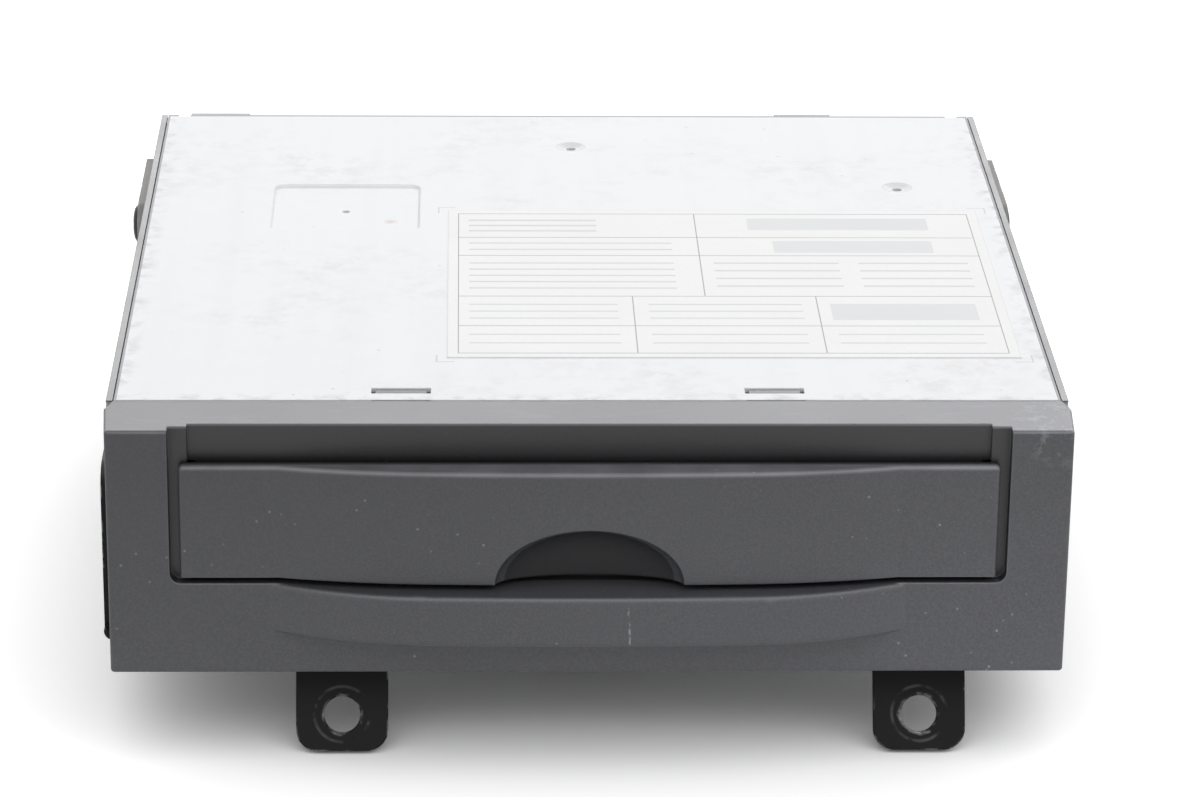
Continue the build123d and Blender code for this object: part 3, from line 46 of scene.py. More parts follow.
# Units, and gains that bring a length in metres into the 0-1 range of a ramp
MM = 0.001
PER_MM = 1000.0
PER_CM = 100.0
PER_DM = 10.0

# Planes of the case
front_mm = -92.35
base_mm = 19.3
front_y = front_mm * MM
rear_y = 92.15 * MM
base_z = base_mm * MM
top_z = 67.5 * MM
door_top = base_z + 41.3 * MM
strip_low = top_z - 0.4 * MM
sheared_low = top_z - 0.3 * MM

# Bezel: door, recess, scoop, scratch and scuff
door_half = 75.6 * MM
door_face = front_y + 1.1 * MM
recess_half = 77.6 * MM
recess_from = front_y + 1.6 * MM
track_half = 75.8 * MM
track_from = front_y + 0.3 * MM
scoop_half = 16.8 * MM
scoop_from = front_y - 1.5 * MM
scoop_span = (door_top - 22.1 * MM, door_top - 11.2 * MM)
scratch_x = 7.2 * MM
scratch_before = front_y - 4.0 * MM
scratch_span = (base_z + 8.8 * MM, base_z + 16.5 * MM)
scuff_spot = (86.0 * MM, front_y + 6.0 * MM, top_z)

# Cover: stain, handled corner, cut edges and dimples
stain_spot = (-38.0 * MM, front_y + 115.7 * MM, top_z)
handled_spot = (80.0 * MM, front_y + 30.0 * MM, top_z)
cut_rear = rear_y - 1.0 * MM
cut_side = 87.1 * MM
cut_front = -76.6 * MM
dimple_spots = ((0.0, 70.65 * MM, top_z), (68.0 * MM, 44.25 * MM, top_z))
dimple_rim = 3.0 * MM
dimple_rim_half = 0.22 * MM

# Cradle: tab holes and the painted highlight on the ears. Board: foot of the packages
tab_holes_x = (-45.9 * MM, 62.8 * MM)
tab_holes_y = (-84.56 * MM, 85.86 * MM)
tab_holes_z = 7.06 * MM
washer_radius = 5.2 * MM
ear_side = 88.8 * MM
package_foot = base_z + 6.8 * MM

# Screws, in millimetres
case_screw_x = 91.0
case_screws_at = ((60, 16), (142, 38))
panel_screw_x = 84.3
panel_screw_y = 93.55
panel_screws_at = (10, 34)

# Sockets of the mix node, which share their names, and settings that several finishes use
MIX_COLOURS = (6, 7)
MIX_RESULT = 2
BEVEL_SAMPLES = 6
plastic_edge = 0.4 * MM
dust_colour = (0.45, 0.44, 0.42)


# Node helpers
class Nodes:
    """Adds nodes to the tree of a material or world.

    A value is a number, a colour, or the output of a node as a (node, output) pair.
    """

    def __init__(self, owner):
        owner.use_nodes = True
        self.tree = owner.node_tree
        self.tree.nodes.clear()

    def add(self, kind, **settings):
        node = self.tree.nodes.new(kind)
        for key, value in settings.items():
            setattr(node, key, value)
        return node

    def feed(self, value, inlet):
        """Links a node's output to an inlet, or sets a number or colour there."""
        if not isinstance(value, tuple):
            inlet.default_value = value
        elif isinstance(value[0], bpy.types.Node):
            self.tree.links.new(value[0].outputs[value[1]], inlet)
        else:
            inlet.default_value = (*value, 1.0)

    def math(self, operation, *values):
        node = self.add("ShaderNodeMath", operation=operation)
        for inlet, value in zip(node.inputs, values):
            self.feed(value, inlet)
        return (node, "Value")

    def fold(self, operation, values):
        """One value from several, joined from the first one on."""
        total, *others = values
        for value in others:
            total = self.math(operation, total, value)
        return total

    def times(self, *values):
        return self.fold("MULTIPLY", values)

    def highest(self, *values):
        return self.fold("MAXIMUM", values)


class Recipe(Nodes):
    """A small builder for one procedural material, placed by object coordinates."""

    def __init__(self, name):
        self.material = bpy.data.materials.new(name)
        super().__init__(self.material)
        output = self.add("ShaderNodeOutputMaterial")
        self.shader = self.add("ShaderNodeBsdfPrincipled")
        self.feed((self.shader, "BSDF"), output.inputs["Surface"])
        self.coordinates = (self.add("ShaderNodeTexCoord"), "Object")

    def texture(self, kind, scale, stretch=(1, 1, 1), shift=(0, 0, 0), **settings):
        """A texture node on stretched and shifted coordinates."""
        mapping = self.add("ShaderNodeMapping")
        mapping.inputs["Scale"].default_value = stretch
        mapping.inputs["Location"].default_value = shift
        self.feed(self.coordinates, mapping.inputs["Vector"])
        node = self.add(kind, **settings)
        node.inputs["Scale"].default_value = scale
        self.feed((mapping, "Vector"), node.inputs["Vector"])
        return node

    def noise(self, scale, detail=3.0, rough=0.55, **placing):
        node = self.texture("ShaderNodeTexNoise", scale, **placing)
        node.inputs["Detail"].default_value = detail
        node.inputs["Roughness"].default_value = rough
        return (node, "Fac")

    def cells(self, scale, **placing):
        return (self.texture("ShaderNodeTexVoronoi", scale, **placing), "Distance")

    def wave(self, scale, direction):
        node = self.texture("ShaderNodeTexWave", scale, wave_type="BANDS", bands_direction=direction)
        return (node, "Fac")

    def component(self, vector, name):
        node = self.add("ShaderNodeSeparateXYZ")
        self.feed(vector, node.inputs["Vector"])
        return (node, name)

    def axis(self, name):
        return self.component(self.coordinates, name)

    def aside(self):
        """Distance from the middle plane."""
        return self.math("ABSOLUTE", self.axis("X"))

    def normal(self, name):
        return self.component((self.add("ShaderNodeNewGeometry"), "Normal"), name)

    def distance(self, spot):
        node = self.add("ShaderNodeVectorMath", operation="DISTANCE")
        self.feed(self.coordinates, node.inputs[0])
        node.inputs[1].default_value = spot
        return (node, "Value")

    def above(self, value, limit):
        return self.math("GREATER_THAN", value, limit)

    def below(self, value, limit):
        return self.math("LESS_THAN", value, limit)

    def scaled(self, value, gain, lift):
        return self.math("MULTIPLY_ADD", value, gain, lift)

    def rise(self, value, low, high, start=0.0, end=1.0):
        """A ramp with one level up to low, another from high on, and a straight run between."""
        node = self.add("ShaderNodeValToRGB")
        for element, position, level in zip(node.color_ramp.elements, (low, high), (start, end)):
            element.position = position
            element.color = (level, level, level, 1.0)
        self.feed(value, node.inputs["Fac"])
        return (node, "Color")

    def fall(self, value, low, high, start=1.0):
        return self.rise(value, low, high, start, 0.0)

    def mix(self, share, first, second, blend="MIX"):
        node = self.add("ShaderNodeMix", data_type="RGBA", blend_type=blend)
        self.feed(share, node.inputs["Factor"])
        for index, value in zip(MIX_COLOURS, (first, second)):
            self.feed(value, node.inputs[index])
        return (node, MIX_RESULT)

    def coat(self, body, colour, mask, share):
        """Lays a colour over the body where the mask is, at a share of full cover."""
        return self.mix(self.times(mask, share), body, colour)

    def bevel(self, radius):
        node = self.add("ShaderNodeBevel", samples=BEVEL_SAMPLES)
        node.inputs["Radius"].default_value = radius
        return (node, "Normal")

    def edge_wear(self, radius, low=0.02, high=0.12):
        """Share of wear, highest along edges."""
        dot = self.add("ShaderNodeVectorMath", operation="DOT_PRODUCT")
        self.feed(self.bevel(radius), dot.inputs[0])
        self.feed((self.add("ShaderNodeNewGeometry"), "Normal"), dot.inputs[1])
        return self.rise(self.math("SUBTRACT", 1.0, (dot, "Value")), low, high)

    def bump(self, height, strength, distance, bevel_radius=None):
        node = self.add("ShaderNodeBump")
        node.inputs["Strength"].default_value = strength
        node.inputs["Distance"].default_value = distance
        self.feed(height, node.inputs["Height"])
        if bevel_radius:
            self.feed(self.bevel(bevel_radius), node.inputs["Normal"])
        self.feed((node, "Normal"), self.shader.inputs["Normal"])

    def set(self, colour, roughness, **others):
        self.feed(colour, self.shader.inputs["Base Color"])
        self.feed(roughness, self.shader.inputs["Roughness"])
        for name, value in others.items():
            self.feed(value, self.shader.inputs[name.replace("_", " ")])
        return self.material


def linear(*levels):
    """A colour given as 0-255 display values, turned to linear light by the sRGB curve."""
    result = []
    for level in levels:
        share = level / 255
        result.append(share / 12.92 if share <= 0.04045 else ((share + 0.055) / 1.055) ** 2.4)
    return tuple(result)


def tinted(colour, gain, lift=0.0):
    return tuple(min(1.0, level * gain + lift) for level in colour)


def strokes(middles, width):
    return [(middle - width / 2, middle + width / 2) for middle in middles]


def bands(r, name, spans):
    """1 where a coordinate lies inside one of the (start, end) spans in millimetres, else 0."""
    value = r.axis(name)
    return r.highest(*(r.math("COMPARE", value, (begin + finish) / 2 * MM, (finish - begin) / 2 * MM)
                       for begin, finish in spans))


def ruling(r, groups):
    """Union of crossed bands: each group is (spans along X, spans along Y), in millimetres."""
    return r.highest(*(r.times(bands(r, "X", across), bands(r, "Y", along)) for across, along in groups))


# Mesh helpers
def mesh_object(name, bm):
    mesh = bpy.data.meshes.new(name)
    bm.to_mesh(mesh)
    bm.free()
    obj = bpy.data.objects.new(name, mesh)
    scene.collection.objects.link(obj)
    return obj


def lathe(bm, profile, matrix, steps=40):
    """Turns (radius, height) points about local Z and closes the form."""
    rings = []
    for radius, height in profile:
        if radius == 0:
            rings.append([bm.verts.new(matrix @ Vector((0, 0, height)))])
            continue
        turns = [math.tau * k / steps for k in range(steps)]
        points = [Vector((radius * math.cos(turn), radius * math.sin(turn), height)) for turn in turns]
        rings.append([bm.verts.new(matrix @ point) for point in points])
    for low, high in zip(rings, rings[1:]):
        for k in range(steps):
            after = (k + 1) % steps
            if len(low) == 1:
                bm.faces.new((low[0], high[k], high[after]))
            elif len(high) == 1:
                bm.faces.new((low[k], high[0], low[after]))
            else:
                bm.faces.new((low[k], high[k], high[after], low[after]))


def cross_cutter(matrix, arm, width, depth, top):
    """A tapered cross that cuts a driver recess."""
    foot_arm = 0.45
    foot_width = 0.7
    square = ((-1, -1), (1, -1), (1, 1), (-1, 1))
    faces = ((0, 1, 2, 3), (7, 6, 5, 4), (0, 4, 5, 1), (1, 5, 6, 2), (2, 6, 7, 3), (3, 7, 4, 0))
    bm = bmesh.new()
    for turn in (0, math.pi / 2):
        spin = matrix @ Matrix.Rotation(turn, 4, "Z")
        high = [Vector((sx * arm, sy * width, top)) for sx, sy in square]
        low = [Vector((sx * arm * foot_arm, sy * width * foot_width, top - depth)) for sx, sy in square]
        corners = [bm.verts.new(spin @ v) for v in high + low]
        for face in faces:
            bm.faces.new([corners[k] for k in face])
    bmesh.ops.recalc_face_normals(bm, faces=bm.faces)
    return bm


def facing(spot, direction):
    """Matrix with local Z along a direction, at a spot in millimetres."""
    turn = Vector(direction).to_track_quat("Z", "Y").to_matrix().to_4x4()
    return Matrix.Translation(Vector(spot) * MM) @ turn


def driver_screws(name, places, head, height, shank, reach, material):
    """Pan-head screws with a cross recess at (spot, direction) places. Sizes in millimetres."""
    dome = ((1.0, 0.0), (1.0, 0.35), (0.94, 0.62), (0.78, 0.86), (0.5, 1.0), (0.0, 1.0))
    tip_share = 0.8
    tip_length = 0.4
    first_turn = 0.5
    turn_step = 1.3
    recess_arm = 0.58
    recess_width = 0.12
    recess_depth = 0.75
    overcut = 0.05
    sharp_angle = 38
    profile = [(0, -reach), (shank * tip_share, -reach), (shank, -reach + tip_length), (shank, 0)]
    profile += [(head * across, height * up) for across, up in dome]
    heads, cutters = bmesh.new(), bmesh.new()
    for index, (spot, direction) in enumerate(places):
        matrix = facing(spot, direction) @ Matrix.Rotation(first_turn + turn_step * index, 4, "Z")
        lathe(heads, [(r * MM, h * MM) for r, h in profile], matrix)
        part = cross_cutter(matrix, head * recess_arm * MM, head * recess_width * MM,
                            height * recess_depth * MM, (height + overcut) * MM)
        scrap = bpy.data.meshes.new("scrap")
        part.to_mesh(scrap)
        part.free()
        cutters.from_mesh(scrap)
        bpy.data.meshes.remove(scrap)
    bmesh.ops.recalc_face_normals(heads, faces=heads.faces)
    screws = mesh_object(name, heads)
    cutter = mesh_object(name + "_cutter", cutters)
    cut = screws.modifiers.new("recess", "BOOLEAN")
    cut.operation = "DIFFERENCE"
    cut.solver = "EXACT"
    cut.use_self = True
    cut.object = cutter
    bpy.context.view_layer.update()
    solid = bpy.data.meshes.new_from_object(screws.evaluated_get(bpy.context.evaluated_depsgraph_get()))
    screws.modifiers.clear()
    screws.data = solid
    bpy.data.objects.remove(cutter)
    for polygon in solid.polygons:
        polygon.use_smooth = True
    solid.materials.clear()
    solid.materials.append(material)
    edge = screws.modifiers.new("edges", "EDGE_SPLIT")
    edge.split_angle = math.radians(sharp_angle)
    return screws


# Materials
def moulded(name, colour, roughness, grain=2600, bump=0.12, dust=0.0, worn=0.35):
    """Moulded plastic: fine spark-eroded grain, soft colour drift, paler edges, a little dust."""
    r = Recipe(name)
    drift = r.noise(28, 4)
    fine = r.noise(grain, 2)
    body = r.mix(r.rise(drift, 0.3, 0.7), tinted(colour, 0.86), tinted(colour, 1.16, 0.004))
    body = r.coat(body, tinted(colour, 1.5, 0.01), r.rise(fine, 0.35, 0.65), 0.25)
    body = r.coat(body, tinted(colour, 2.2, 0.03), r.edge_wear(plastic_edge), worn)
    if dust:
        specks = r.fall(r.cells(420), 0.0, 0.10)
        patches = r.rise(r.noise(60, 2, shift=(3, 1, 2)), 0.50, 0.62)
        body = r.coat(body, dust_colour, r.times(specks, patches), dust)
    r.bump(fine, bump, 0.00008, plastic_edge)
    return r.set(body, r.scaled(drift, 0.12, roughness - 0.06))


def rolled_steel(name, colour, roughness, metallic=1.0, streak=1.0, bevel=0.0003, spangle=0.0, cut=None):
    """Rolled or plated steel: faint streaks, mottling and worn edges. The cut gives a height and the raw
    colour above it."""
    r = Recipe(name)
    streaks = r.noise(220, 3, stretch=(0.06, 1.0, 1.0))
    mottle = r.noise(45, 4)
    dark = tinted(colour, 0.8)
    body = r.mix(r.times(r.rise(streaks, 0.3, 0.7), streak * 0.6), dark, tinted(colour, 1.12))
    body = r.coat(body, colour, r.rise(mottle, 0.35, 0.65), 0.4)
    if spangle:
        body = r.coat(body, dark, r.rise(r.cells(140), 0.2, 0.7), spangle)
    body = r.coat(body, tinted(colour, 1.3, 0.05), r.edge_wear(bevel), 0.4)
    if cut:
        level, raw = cut
        body = r.coat(body, raw, r.above(r.axis("Z"), level), 0.85)
    r.bump(streaks, 0.05, 0.0001, bevel)
    return r.set(body, r.scaled(mottle, 0.22, roughness - 0.11), Metallic=metallic)


def bezel_finish():
    """Charcoal satin plastic of the bezel and door: dust, scuffs and paler edges, a painted reflection on the
    top strip, a painted highlight along the door's upper edge, painted shade inside the recess and the scoop,
    and painted shading, darker towards the left and the top."""
    r = Recipe("bezel_satin")
    charcoal = linear(70, 71, 76)
    aside = r.aside()
    depth = r.axis("Y")
    level = r.axis("Z")
    drift = r.noise(24, 4)
    fine = r.noise(2400, 2)
    body = r.mix(r.rise(drift, 0.3, 0.7), tinted(charcoal, 0.92), tinted(charcoal, 1.08))
    body = r.coat(body, linear(100, 100, 104), r.rise(fine, 0.38, 0.66), 0.36)

    # Strip along the top: a paler tone painted in as a reflection, rubbed in places; and worn edges
    strip = r.above(level, strip_low)
    rubbed = r.rise(r.noise(260, 4, 0.7, stretch=(0.25, 1.0, 1.0)), 0.56, 0.72)
    body = r.coat(body, linear(112, 113, 122), strip, 0.7)
    body = r.coat(body, linear(140, 142, 156), r.times(strip, rubbed), 0.35)
    body = r.coat(body, linear(138, 138, 142), r.edge_wear(0.0006), 0.45)

    # Painted highlight: a pale line along the upper edge of the door
    lift = r.math("ABSOLUTE", r.math("SUBTRACT", level, door_top))
    rim = r.times(r.fall(r.times(lift, PER_MM), 0.3, 0.9), r.below(depth, door_face),
                  r.below(aside, door_half), r.rise(r.noise(90, 3), 0.3, 0.6, start=0.5))
    body = r.coat(body, linear(150, 150, 156), rim, 0.6)

    # Scratch on the lip
    wander = r.scaled(r.noise(160, 2), 0.0012, -0.0006)
    near = r.math("ABSOLUTE", r.math("SUBTRACT", r.math("SUBTRACT", r.axis("X"), scratch_x), wander))
    line = r.fall(r.times(near, PER_MM), 0.05, 0.22)
    broken = r.rise(r.noise(900, 2), 0.42, 0.55)
    scratch = r.times(line, broken, r.below(depth, scratch_before), r.above(level, scratch_span[0]),
                      r.below(level, scratch_span[1]))
    body = r.coat(body, linear(190, 188, 184), scratch, 0.5)

    # Dust, the scuffed corner and dark nicks in the strip
    specks = r.fall(r.cells(300), 0.0, 0.10)
    patches = r.rise(r.noise(52, 2, shift=(3, 1, 2)), 0.50, 0.58)
    body = r.coat(body, linear(186, 184, 178), r.times(specks, patches), 0.7)
    scuffed = r.times(r.fall(r.times(r.distance(scuff_spot), PER_CM), 0.3, 1.0),
                      r.rise(r.noise(480, 4, 0.7), 0.52, 0.60))
    body = r.coat(body, linear(170, 170, 176), scuffed, 0.7)
    nicks = r.times(r.fall(r.cells(200, shift=(2, 5, 1)), 0.0, 0.07), strip)
    body = r.coat(body, linear(34, 32, 32), nicks, 0.8)

    # Painted shade: a dark tone inside the recess, in the tracks of the door and in the scoop
    within = r.times(r.below(aside, recess_half), r.below(level, strip_low))
    tracks = r.times(r.above(depth, track_from), r.above(aside, track_half))
    recess_shade = r.times(within, r.highest(r.above(depth, recess_from), tracks))
    scoop_shade = r.times(r.above(depth, scoop_from), r.below(aside, scoop_half), r.above(level, scoop_span[0]),
                      r.below(level, scoop_span[1]))
    body = r.coat(body, linear(12, 12, 14), r.highest(recess_shade, scoop_shade), 0.8)

    # Shading across and up the face
    across = r.scaled(r.axis("X"), 5.4, 0.5)
    rise = r.scaled(level, -20.7, 1.4)
    shade = r.times(r.math("ADD", across, rise), 0.5)
    body = r.mix(1.0, body, r.rise(shade, 0.1, 0.95, start=0.4), "MULTIPLY")
    r.bump(fine, 0.16, 0.00010, 0.0005)
    return r.set(body, r.scaled(drift, 0.10, 0.33), IOR=1.66)


def cover_finish():
    """Zinc-coated cover sheet: bluish white, faint mottling, handling dirt, one brown stain, grey cut edges,
    a painted shade line round each dimple, and thin lines at the corners of the label's field."""
    r = Recipe("cover_zinc")
    aside = r.aside()
    depth = r.axis("Y")
    mottle = r.noise(36, 5, 0.6)
    streaks = r.noise(150, 3, stretch=(1.0, 0.05, 1.0))
    body = r.mix(r.rise(mottle, 0.32, 0.68), linear(224, 225, 227), linear(232, 233, 235))
    body = r.coat(body, linear(229, 230, 233), r.rise(r.noise(9, 2), 0.35, 0.65), 0.5)
    body = r.coat(body, linear(216, 218, 222), r.rise(streaks, 0.45, 0.75), 0.25)

    # Brown stain
    stain_gain = 400.0
    ragged = r.math("ADD", r.distance(stain_spot), r.scaled(r.noise(520, 3), 0.0016, -0.0008))
    body = r.coat(body, linear(168, 134, 98), r.fall(r.times(ragged, stain_gain), 0.16, 0.62), 0.5)

    # Dirt at the handled corner, the sides and the front
    handled_gain = 30.0
    reach = r.fall(r.times(r.distance(handled_spot), handled_gain), 0.1, 0.75)
    specks = r.fall(r.cells(260), 0.0, 0.13)
    scarce = r.rise(r.noise(90, 2, shift=(5, 2, 0)), 0.50, 0.62)
    border = r.highest(r.rise(r.times(aside, PER_DM), 0.835, 0.872),
                       r.rise(r.times(depth, -PER_DM), 0.725, 0.768))
    near = r.highest(reach, r.times(border, 0.8))
    body = r.mix(r.times(specks, scarce, r.scaled(near, 0.8, 0.1)), body, linear(112, 106, 98))
    grime = r.times(border, r.rise(r.noise(300, 4), 0.48, 0.7))
    body = r.coat(body, linear(132, 120, 104), grime, 0.4)
    smudge = r.times(r.rise(r.noise(26, 4, shift=(2, 7, 0)), 0.50, 0.66),
                     r.rise(r.noise(210, 4, 0.7), 0.45, 0.62))
    body = r.coat(body, linear(176, 172, 166), smudge, 0.22)
    flecks = r.fall(r.cells(120, shift=(1, 4, 0)), 0.0, 0.045)
    body = r.coat(body, linear(96, 84, 70), flecks, 0.55)

    # Cut edges, a painted shade line round the rim of each dimple, corner lines and worn edges
    cut = r.highest(r.above(depth, cut_rear), r.above(aside, cut_side), r.below(depth, cut_front))
    body = r.coat(body, linear(118, 119, 126), cut, 0.75)
    for spot in dimple_spots:
        rim = r.math("COMPARE", r.distance(spot), dimple_rim, dimple_rim_half)
        body = r.coat(body, linear(176, 178, 184), rim, 0.3)
    marks = ruling(r, (
        ([(-28.3, -24.8), (81.4, 84.9)], strokes((-57.2, 30.9), 0.3)),
        (strokes((-28.2, 84.8), 0.3), [(-57.2, -53.7), (27.4, 30.9)]),
    ))
    body = r.coat(body, linear(172, 174, 180), marks, 0.6)
    body = r.coat(body, linear(214, 216, 220), r.edge_wear(0.0004), 0.35)
    r.bump(mottle, 0.06, 0.0002, 0.0004)
    return r.set(body, r.scaled(mottle, 0.16, 0.40))


def cradle_finish():
    """Black paint on the cradle, with thin worn rings round the tab holes and chipped edges, and a painted
    highlight on the upper faces of the ears that look forward or up."""
    r = Recipe("cradle_black")
    drift = r.noise(40, 4)
    paint = r.mix(r.rise(drift, 0.3, 0.7), linear(13, 13, 14), linear(24, 24, 26))
    steel = r.mix(r.rise(r.noise(300, 3), 0.3, 0.7), linear(150, 150, 152), linear(206, 206, 208))

    # Rings round the tab holes, and chips along the edges
    from_hole = r.fold("MINIMUM", [r.distance((x, y, tab_holes_z)) for x in tab_holes_x for y in tab_holes_y])
    ragged = r.math("ADD", from_hole, r.scaled(r.noise(420, 3), 0.0014, -0.0007))
    patchy = r.rise(r.noise(230, 4), 0.44, 0.56)
    rim = r.times(r.fall(r.times(ragged, PER_CM), 0.36, 0.41, start=0.5), patchy)
    washer = r.math("ABSOLUTE", r.math("SUBTRACT", from_hole, washer_radius))
    trace = r.times(r.fall(r.times(washer, PER_MM), 0.12, 0.4, start=0.12), patchy)
    chips = r.times(r.edge_wear(0.0006, 0.03, 0.2), r.rise(r.noise(260, 4), 0.52, 0.6))
    bare = r.highest(rim, trace, r.times(chips, 0.85))

    # Painted highlight on the upper ears, on the faces that look forward or up
    raised = r.times(r.above(r.aside(), ear_side), r.rise(r.times(r.axis("Z"), PER_DM), 0.49, 0.58))
    ear_highlight_faces = r.above(r.highest(r.times(r.normal("Y"), -1.0), r.normal("Z")), 0.35)
    paint = r.coat(paint, linear(148, 145, 142), r.times(raised, ear_highlight_faces), 0.85)
    uneven = r.math("SUBTRACT", r.scaled(drift, 0.16, 0.42), r.times(bare, 0.12))
    r.bump(r.noise(700, 3), 0.10, 0.00015, 0.0005)
    return r.set(r.mix(bare, paint, steel), uneven, Metallic=bare, Specular_IOR_Level=0.17)


def paper_finish():
    """Coated label paper: near white, faint fibre mottling, worn edges, plain ruled fields and pale bars."""
    r = Recipe("label_paper")
    fibre = r.noise(900, 3)
    tone = r.noise(30, 3)
    body = r.mix(r.rise(tone, 0.35, 0.65), linear(228, 228, 228), linear(235, 235, 235))
    body = r.coat(body, linear(220, 220, 218), r.rise(fibre, 0.4, 0.7), 0.2)
    body = r.coat(body, linear(170, 168, 162), r.edge_wear(0.0003), 0.5)
    rules = ruling(r, (
        ([(-24.2, 80.8)], strokes((26.6, 12.2, 1.4, -22.0, -38.4, -53.0), 0.28)),
        (strokes((-24.1, 80.7), 0.2), [(-53.0, 26.6)]),
        (strokes((24.3,), 0.22), [(-22.0, 26.6)]),
        (strokes((10.0, 46.0), 0.22), [(-53.0, -22.0)]),
    ))
    bars = ruling(r, (
        ([(-22.0, 4.0)], strokes((22.6, 19.4, 16.2), 0.9)),
        ([(-22.0, 19.0)], strokes((8.8, 5.0, -3.0, -6.6, -10.2, -13.8, -17.4), 0.7)),
        ([(27.0, 52.0), (56.0, 78.0)], strokes((-3.0, -7.4, -11.8, -16.2), 0.8)),
        ([(-22.0, 7.0), (13.0, 43.0)], strokes((-26.6, -30.4, -34.2), 0.6)),
        ([(-22.0, 7.0), (13.0, 43.0), (49.0, 77.0)], strokes((-43.0, -47.6), 0.6)),
    ))
    fields = ruling(r, (
        ([(35.0, 72.0)], [(16.8, 23.9)]),
        ([(39.5, 71.8)], [(3.2, 10.2)]),
        ([(48.5, 77.0)], [(-35.2, -26.2)]),
    ))
    body = r.coat(body, linear(208, 209, 212), fields, 0.8)
    body = r.coat(body, linear(188, 190, 194), bars, 0.7)
    body = r.coat(body, linear(118, 120, 124), rules, 0.8)
    r.bump(fibre, 0.05, 0.00005)
    return r.set(body, r.scaled(tone, 0.12, 0.44))


def board_finish():
    """Green solder mask over copper traces, with tinned pads."""
    r = Recipe("board_mask")
    bricks = r.texture("ShaderNodeTexBrick", 190, offset=0.35, squash=1.6, squash_frequency=3)
    bricks.inputs["Mortar Size"].default_value = 0.055
    traces = (bricks, "Fac")
    pads = r.times(r.fall(r.cells(240), 0.05, 0.12), r.rise(r.noise(40, 2), 0.50, 0.58))
    body = r.mix(traces, linear(22, 78, 44), linear(38, 104, 58))
    body = r.mix(pads, body, linear(196, 196, 186))
    body = r.coat(body, linear(16, 62, 36), r.rise(r.noise(22, 3), 0.3, 0.7), 0.3)
    body = r.coat(body, linear(156, 146, 92), r.edge_wear(0.0003), 0.6)
    r.bump(traces, 0.2, 0.00004)
    return r.set(body, r.scaled(r.noise(60, 2), 0.2, 0.28))


def felt_finish():
    """Black felt: soft fibres and lint."""
    r = Recipe("felt_fibre")
    fibre = r.noise(2600, 4, 0.7)
    body = r.mix(r.rise(fibre, 0.3, 0.7), linear(24, 24, 25), linear(52, 52, 53))
    body = r.coat(body, linear(132, 130, 126), r.fall(r.cells(700), 0.0, 0.07), 0.35)
    r.bump(fibre, 0.7, 0.0003)
    return r.set(body, 0.95, Sheen_Weight=0.4)


def film_finish():
    """Smoky insulating film."""
    r = Recipe("insulator_film")
    haze = r.noise(60, 3)
    body = r.mix(r.rise(haze, 0.3, 0.7), linear(150, 140, 110), linear(178, 168, 134))
    r.bump(haze, 0.1, 0.0002)
    return r.set(body, r.scaled(haze, 0.14, 0.22))


def ribbon_finish():
    """White flat cable with fine parallel conductors."""
    r = Recipe("ribbon_cable")
    conductors = r.wave(320, "X")
    body = r.mix(conductors, linear(226, 224, 214), linear(196, 192, 178))
    body = r.coat(body, linear(214, 206, 180), r.rise(r.noise(80, 3), 0.3, 0.7), 0.3)
    r.bump(conductors, 0.3, 0.0001)
    return r.set(body, r.scaled(r.noise(50, 2), 0.15, 0.35))


def glass_finish():
    """Coated objective lens."""
    r = Recipe("lens_coated")
    tone = r.noise(400, 2)
    body = r.mix(r.rise(tone, 0.3, 0.7), linear(90, 120, 170), linear(120, 96, 160))
    r.bump(tone, 0.02, 0.00005, 0.0003)
    return r.set(body, r.scaled(tone, 0.05, 0.03), IOR=1.6, Coat_Weight=0.6)


def chip_finish():
    """Moulded epoxy packages: matt black, with solder at the foot."""
    r = Recipe("chip_epoxy")
    foot_gain = 500.0
    sand = r.noise(1800, 3)
    body = r.mix(r.rise(sand, 0.35, 0.65), linear(28, 28, 30), linear(44, 44, 47))
    foot = r.fall(r.times(r.math("SUBTRACT", r.axis("Z"), package_foot), foot_gain), 0.05, 0.22)
    legs = r.rise(r.wave(150, "DIAGONAL"), 0.45, 0.55)
    body = r.mix(r.times(foot, legs), body, linear(190, 190, 186))
    body = r.coat(body, linear(92, 92, 94), r.edge_wear(0.0002), 0.4)
    r.bump(sand, 0.12, 0.00006)
    return r.set(body, r.scaled(sand, 0.2, 0.5))


def sleeve_finish():
    """Capacitors: aluminium tops, dark shrink sleeve with a plain pale stripe."""
    r = Recipe("capacitor_sleeve")
    top = r.above(r.normal("Z"), 0.6)
    stripe = r.above(r.normal("X"), 0.86)
    tone = r.noise(120, 3)
    sleeve = r.mix(r.rise(tone, 0.3, 0.7), linear(30, 34, 52), linear(42, 47, 70))
    sleeve = r.mix(stripe, sleeve, linear(178, 182, 190))
    can = r.mix(r.rise(r.noise(700, 2), 0.3, 0.7), linear(176, 178, 180), linear(206, 208, 210))
    r.bump(tone, 0.08, 0.0001, 0.0003)
    return r.set(r.mix(top, sleeve, can), r.scaled(tone, 0.15, 0.3), Metallic=top)


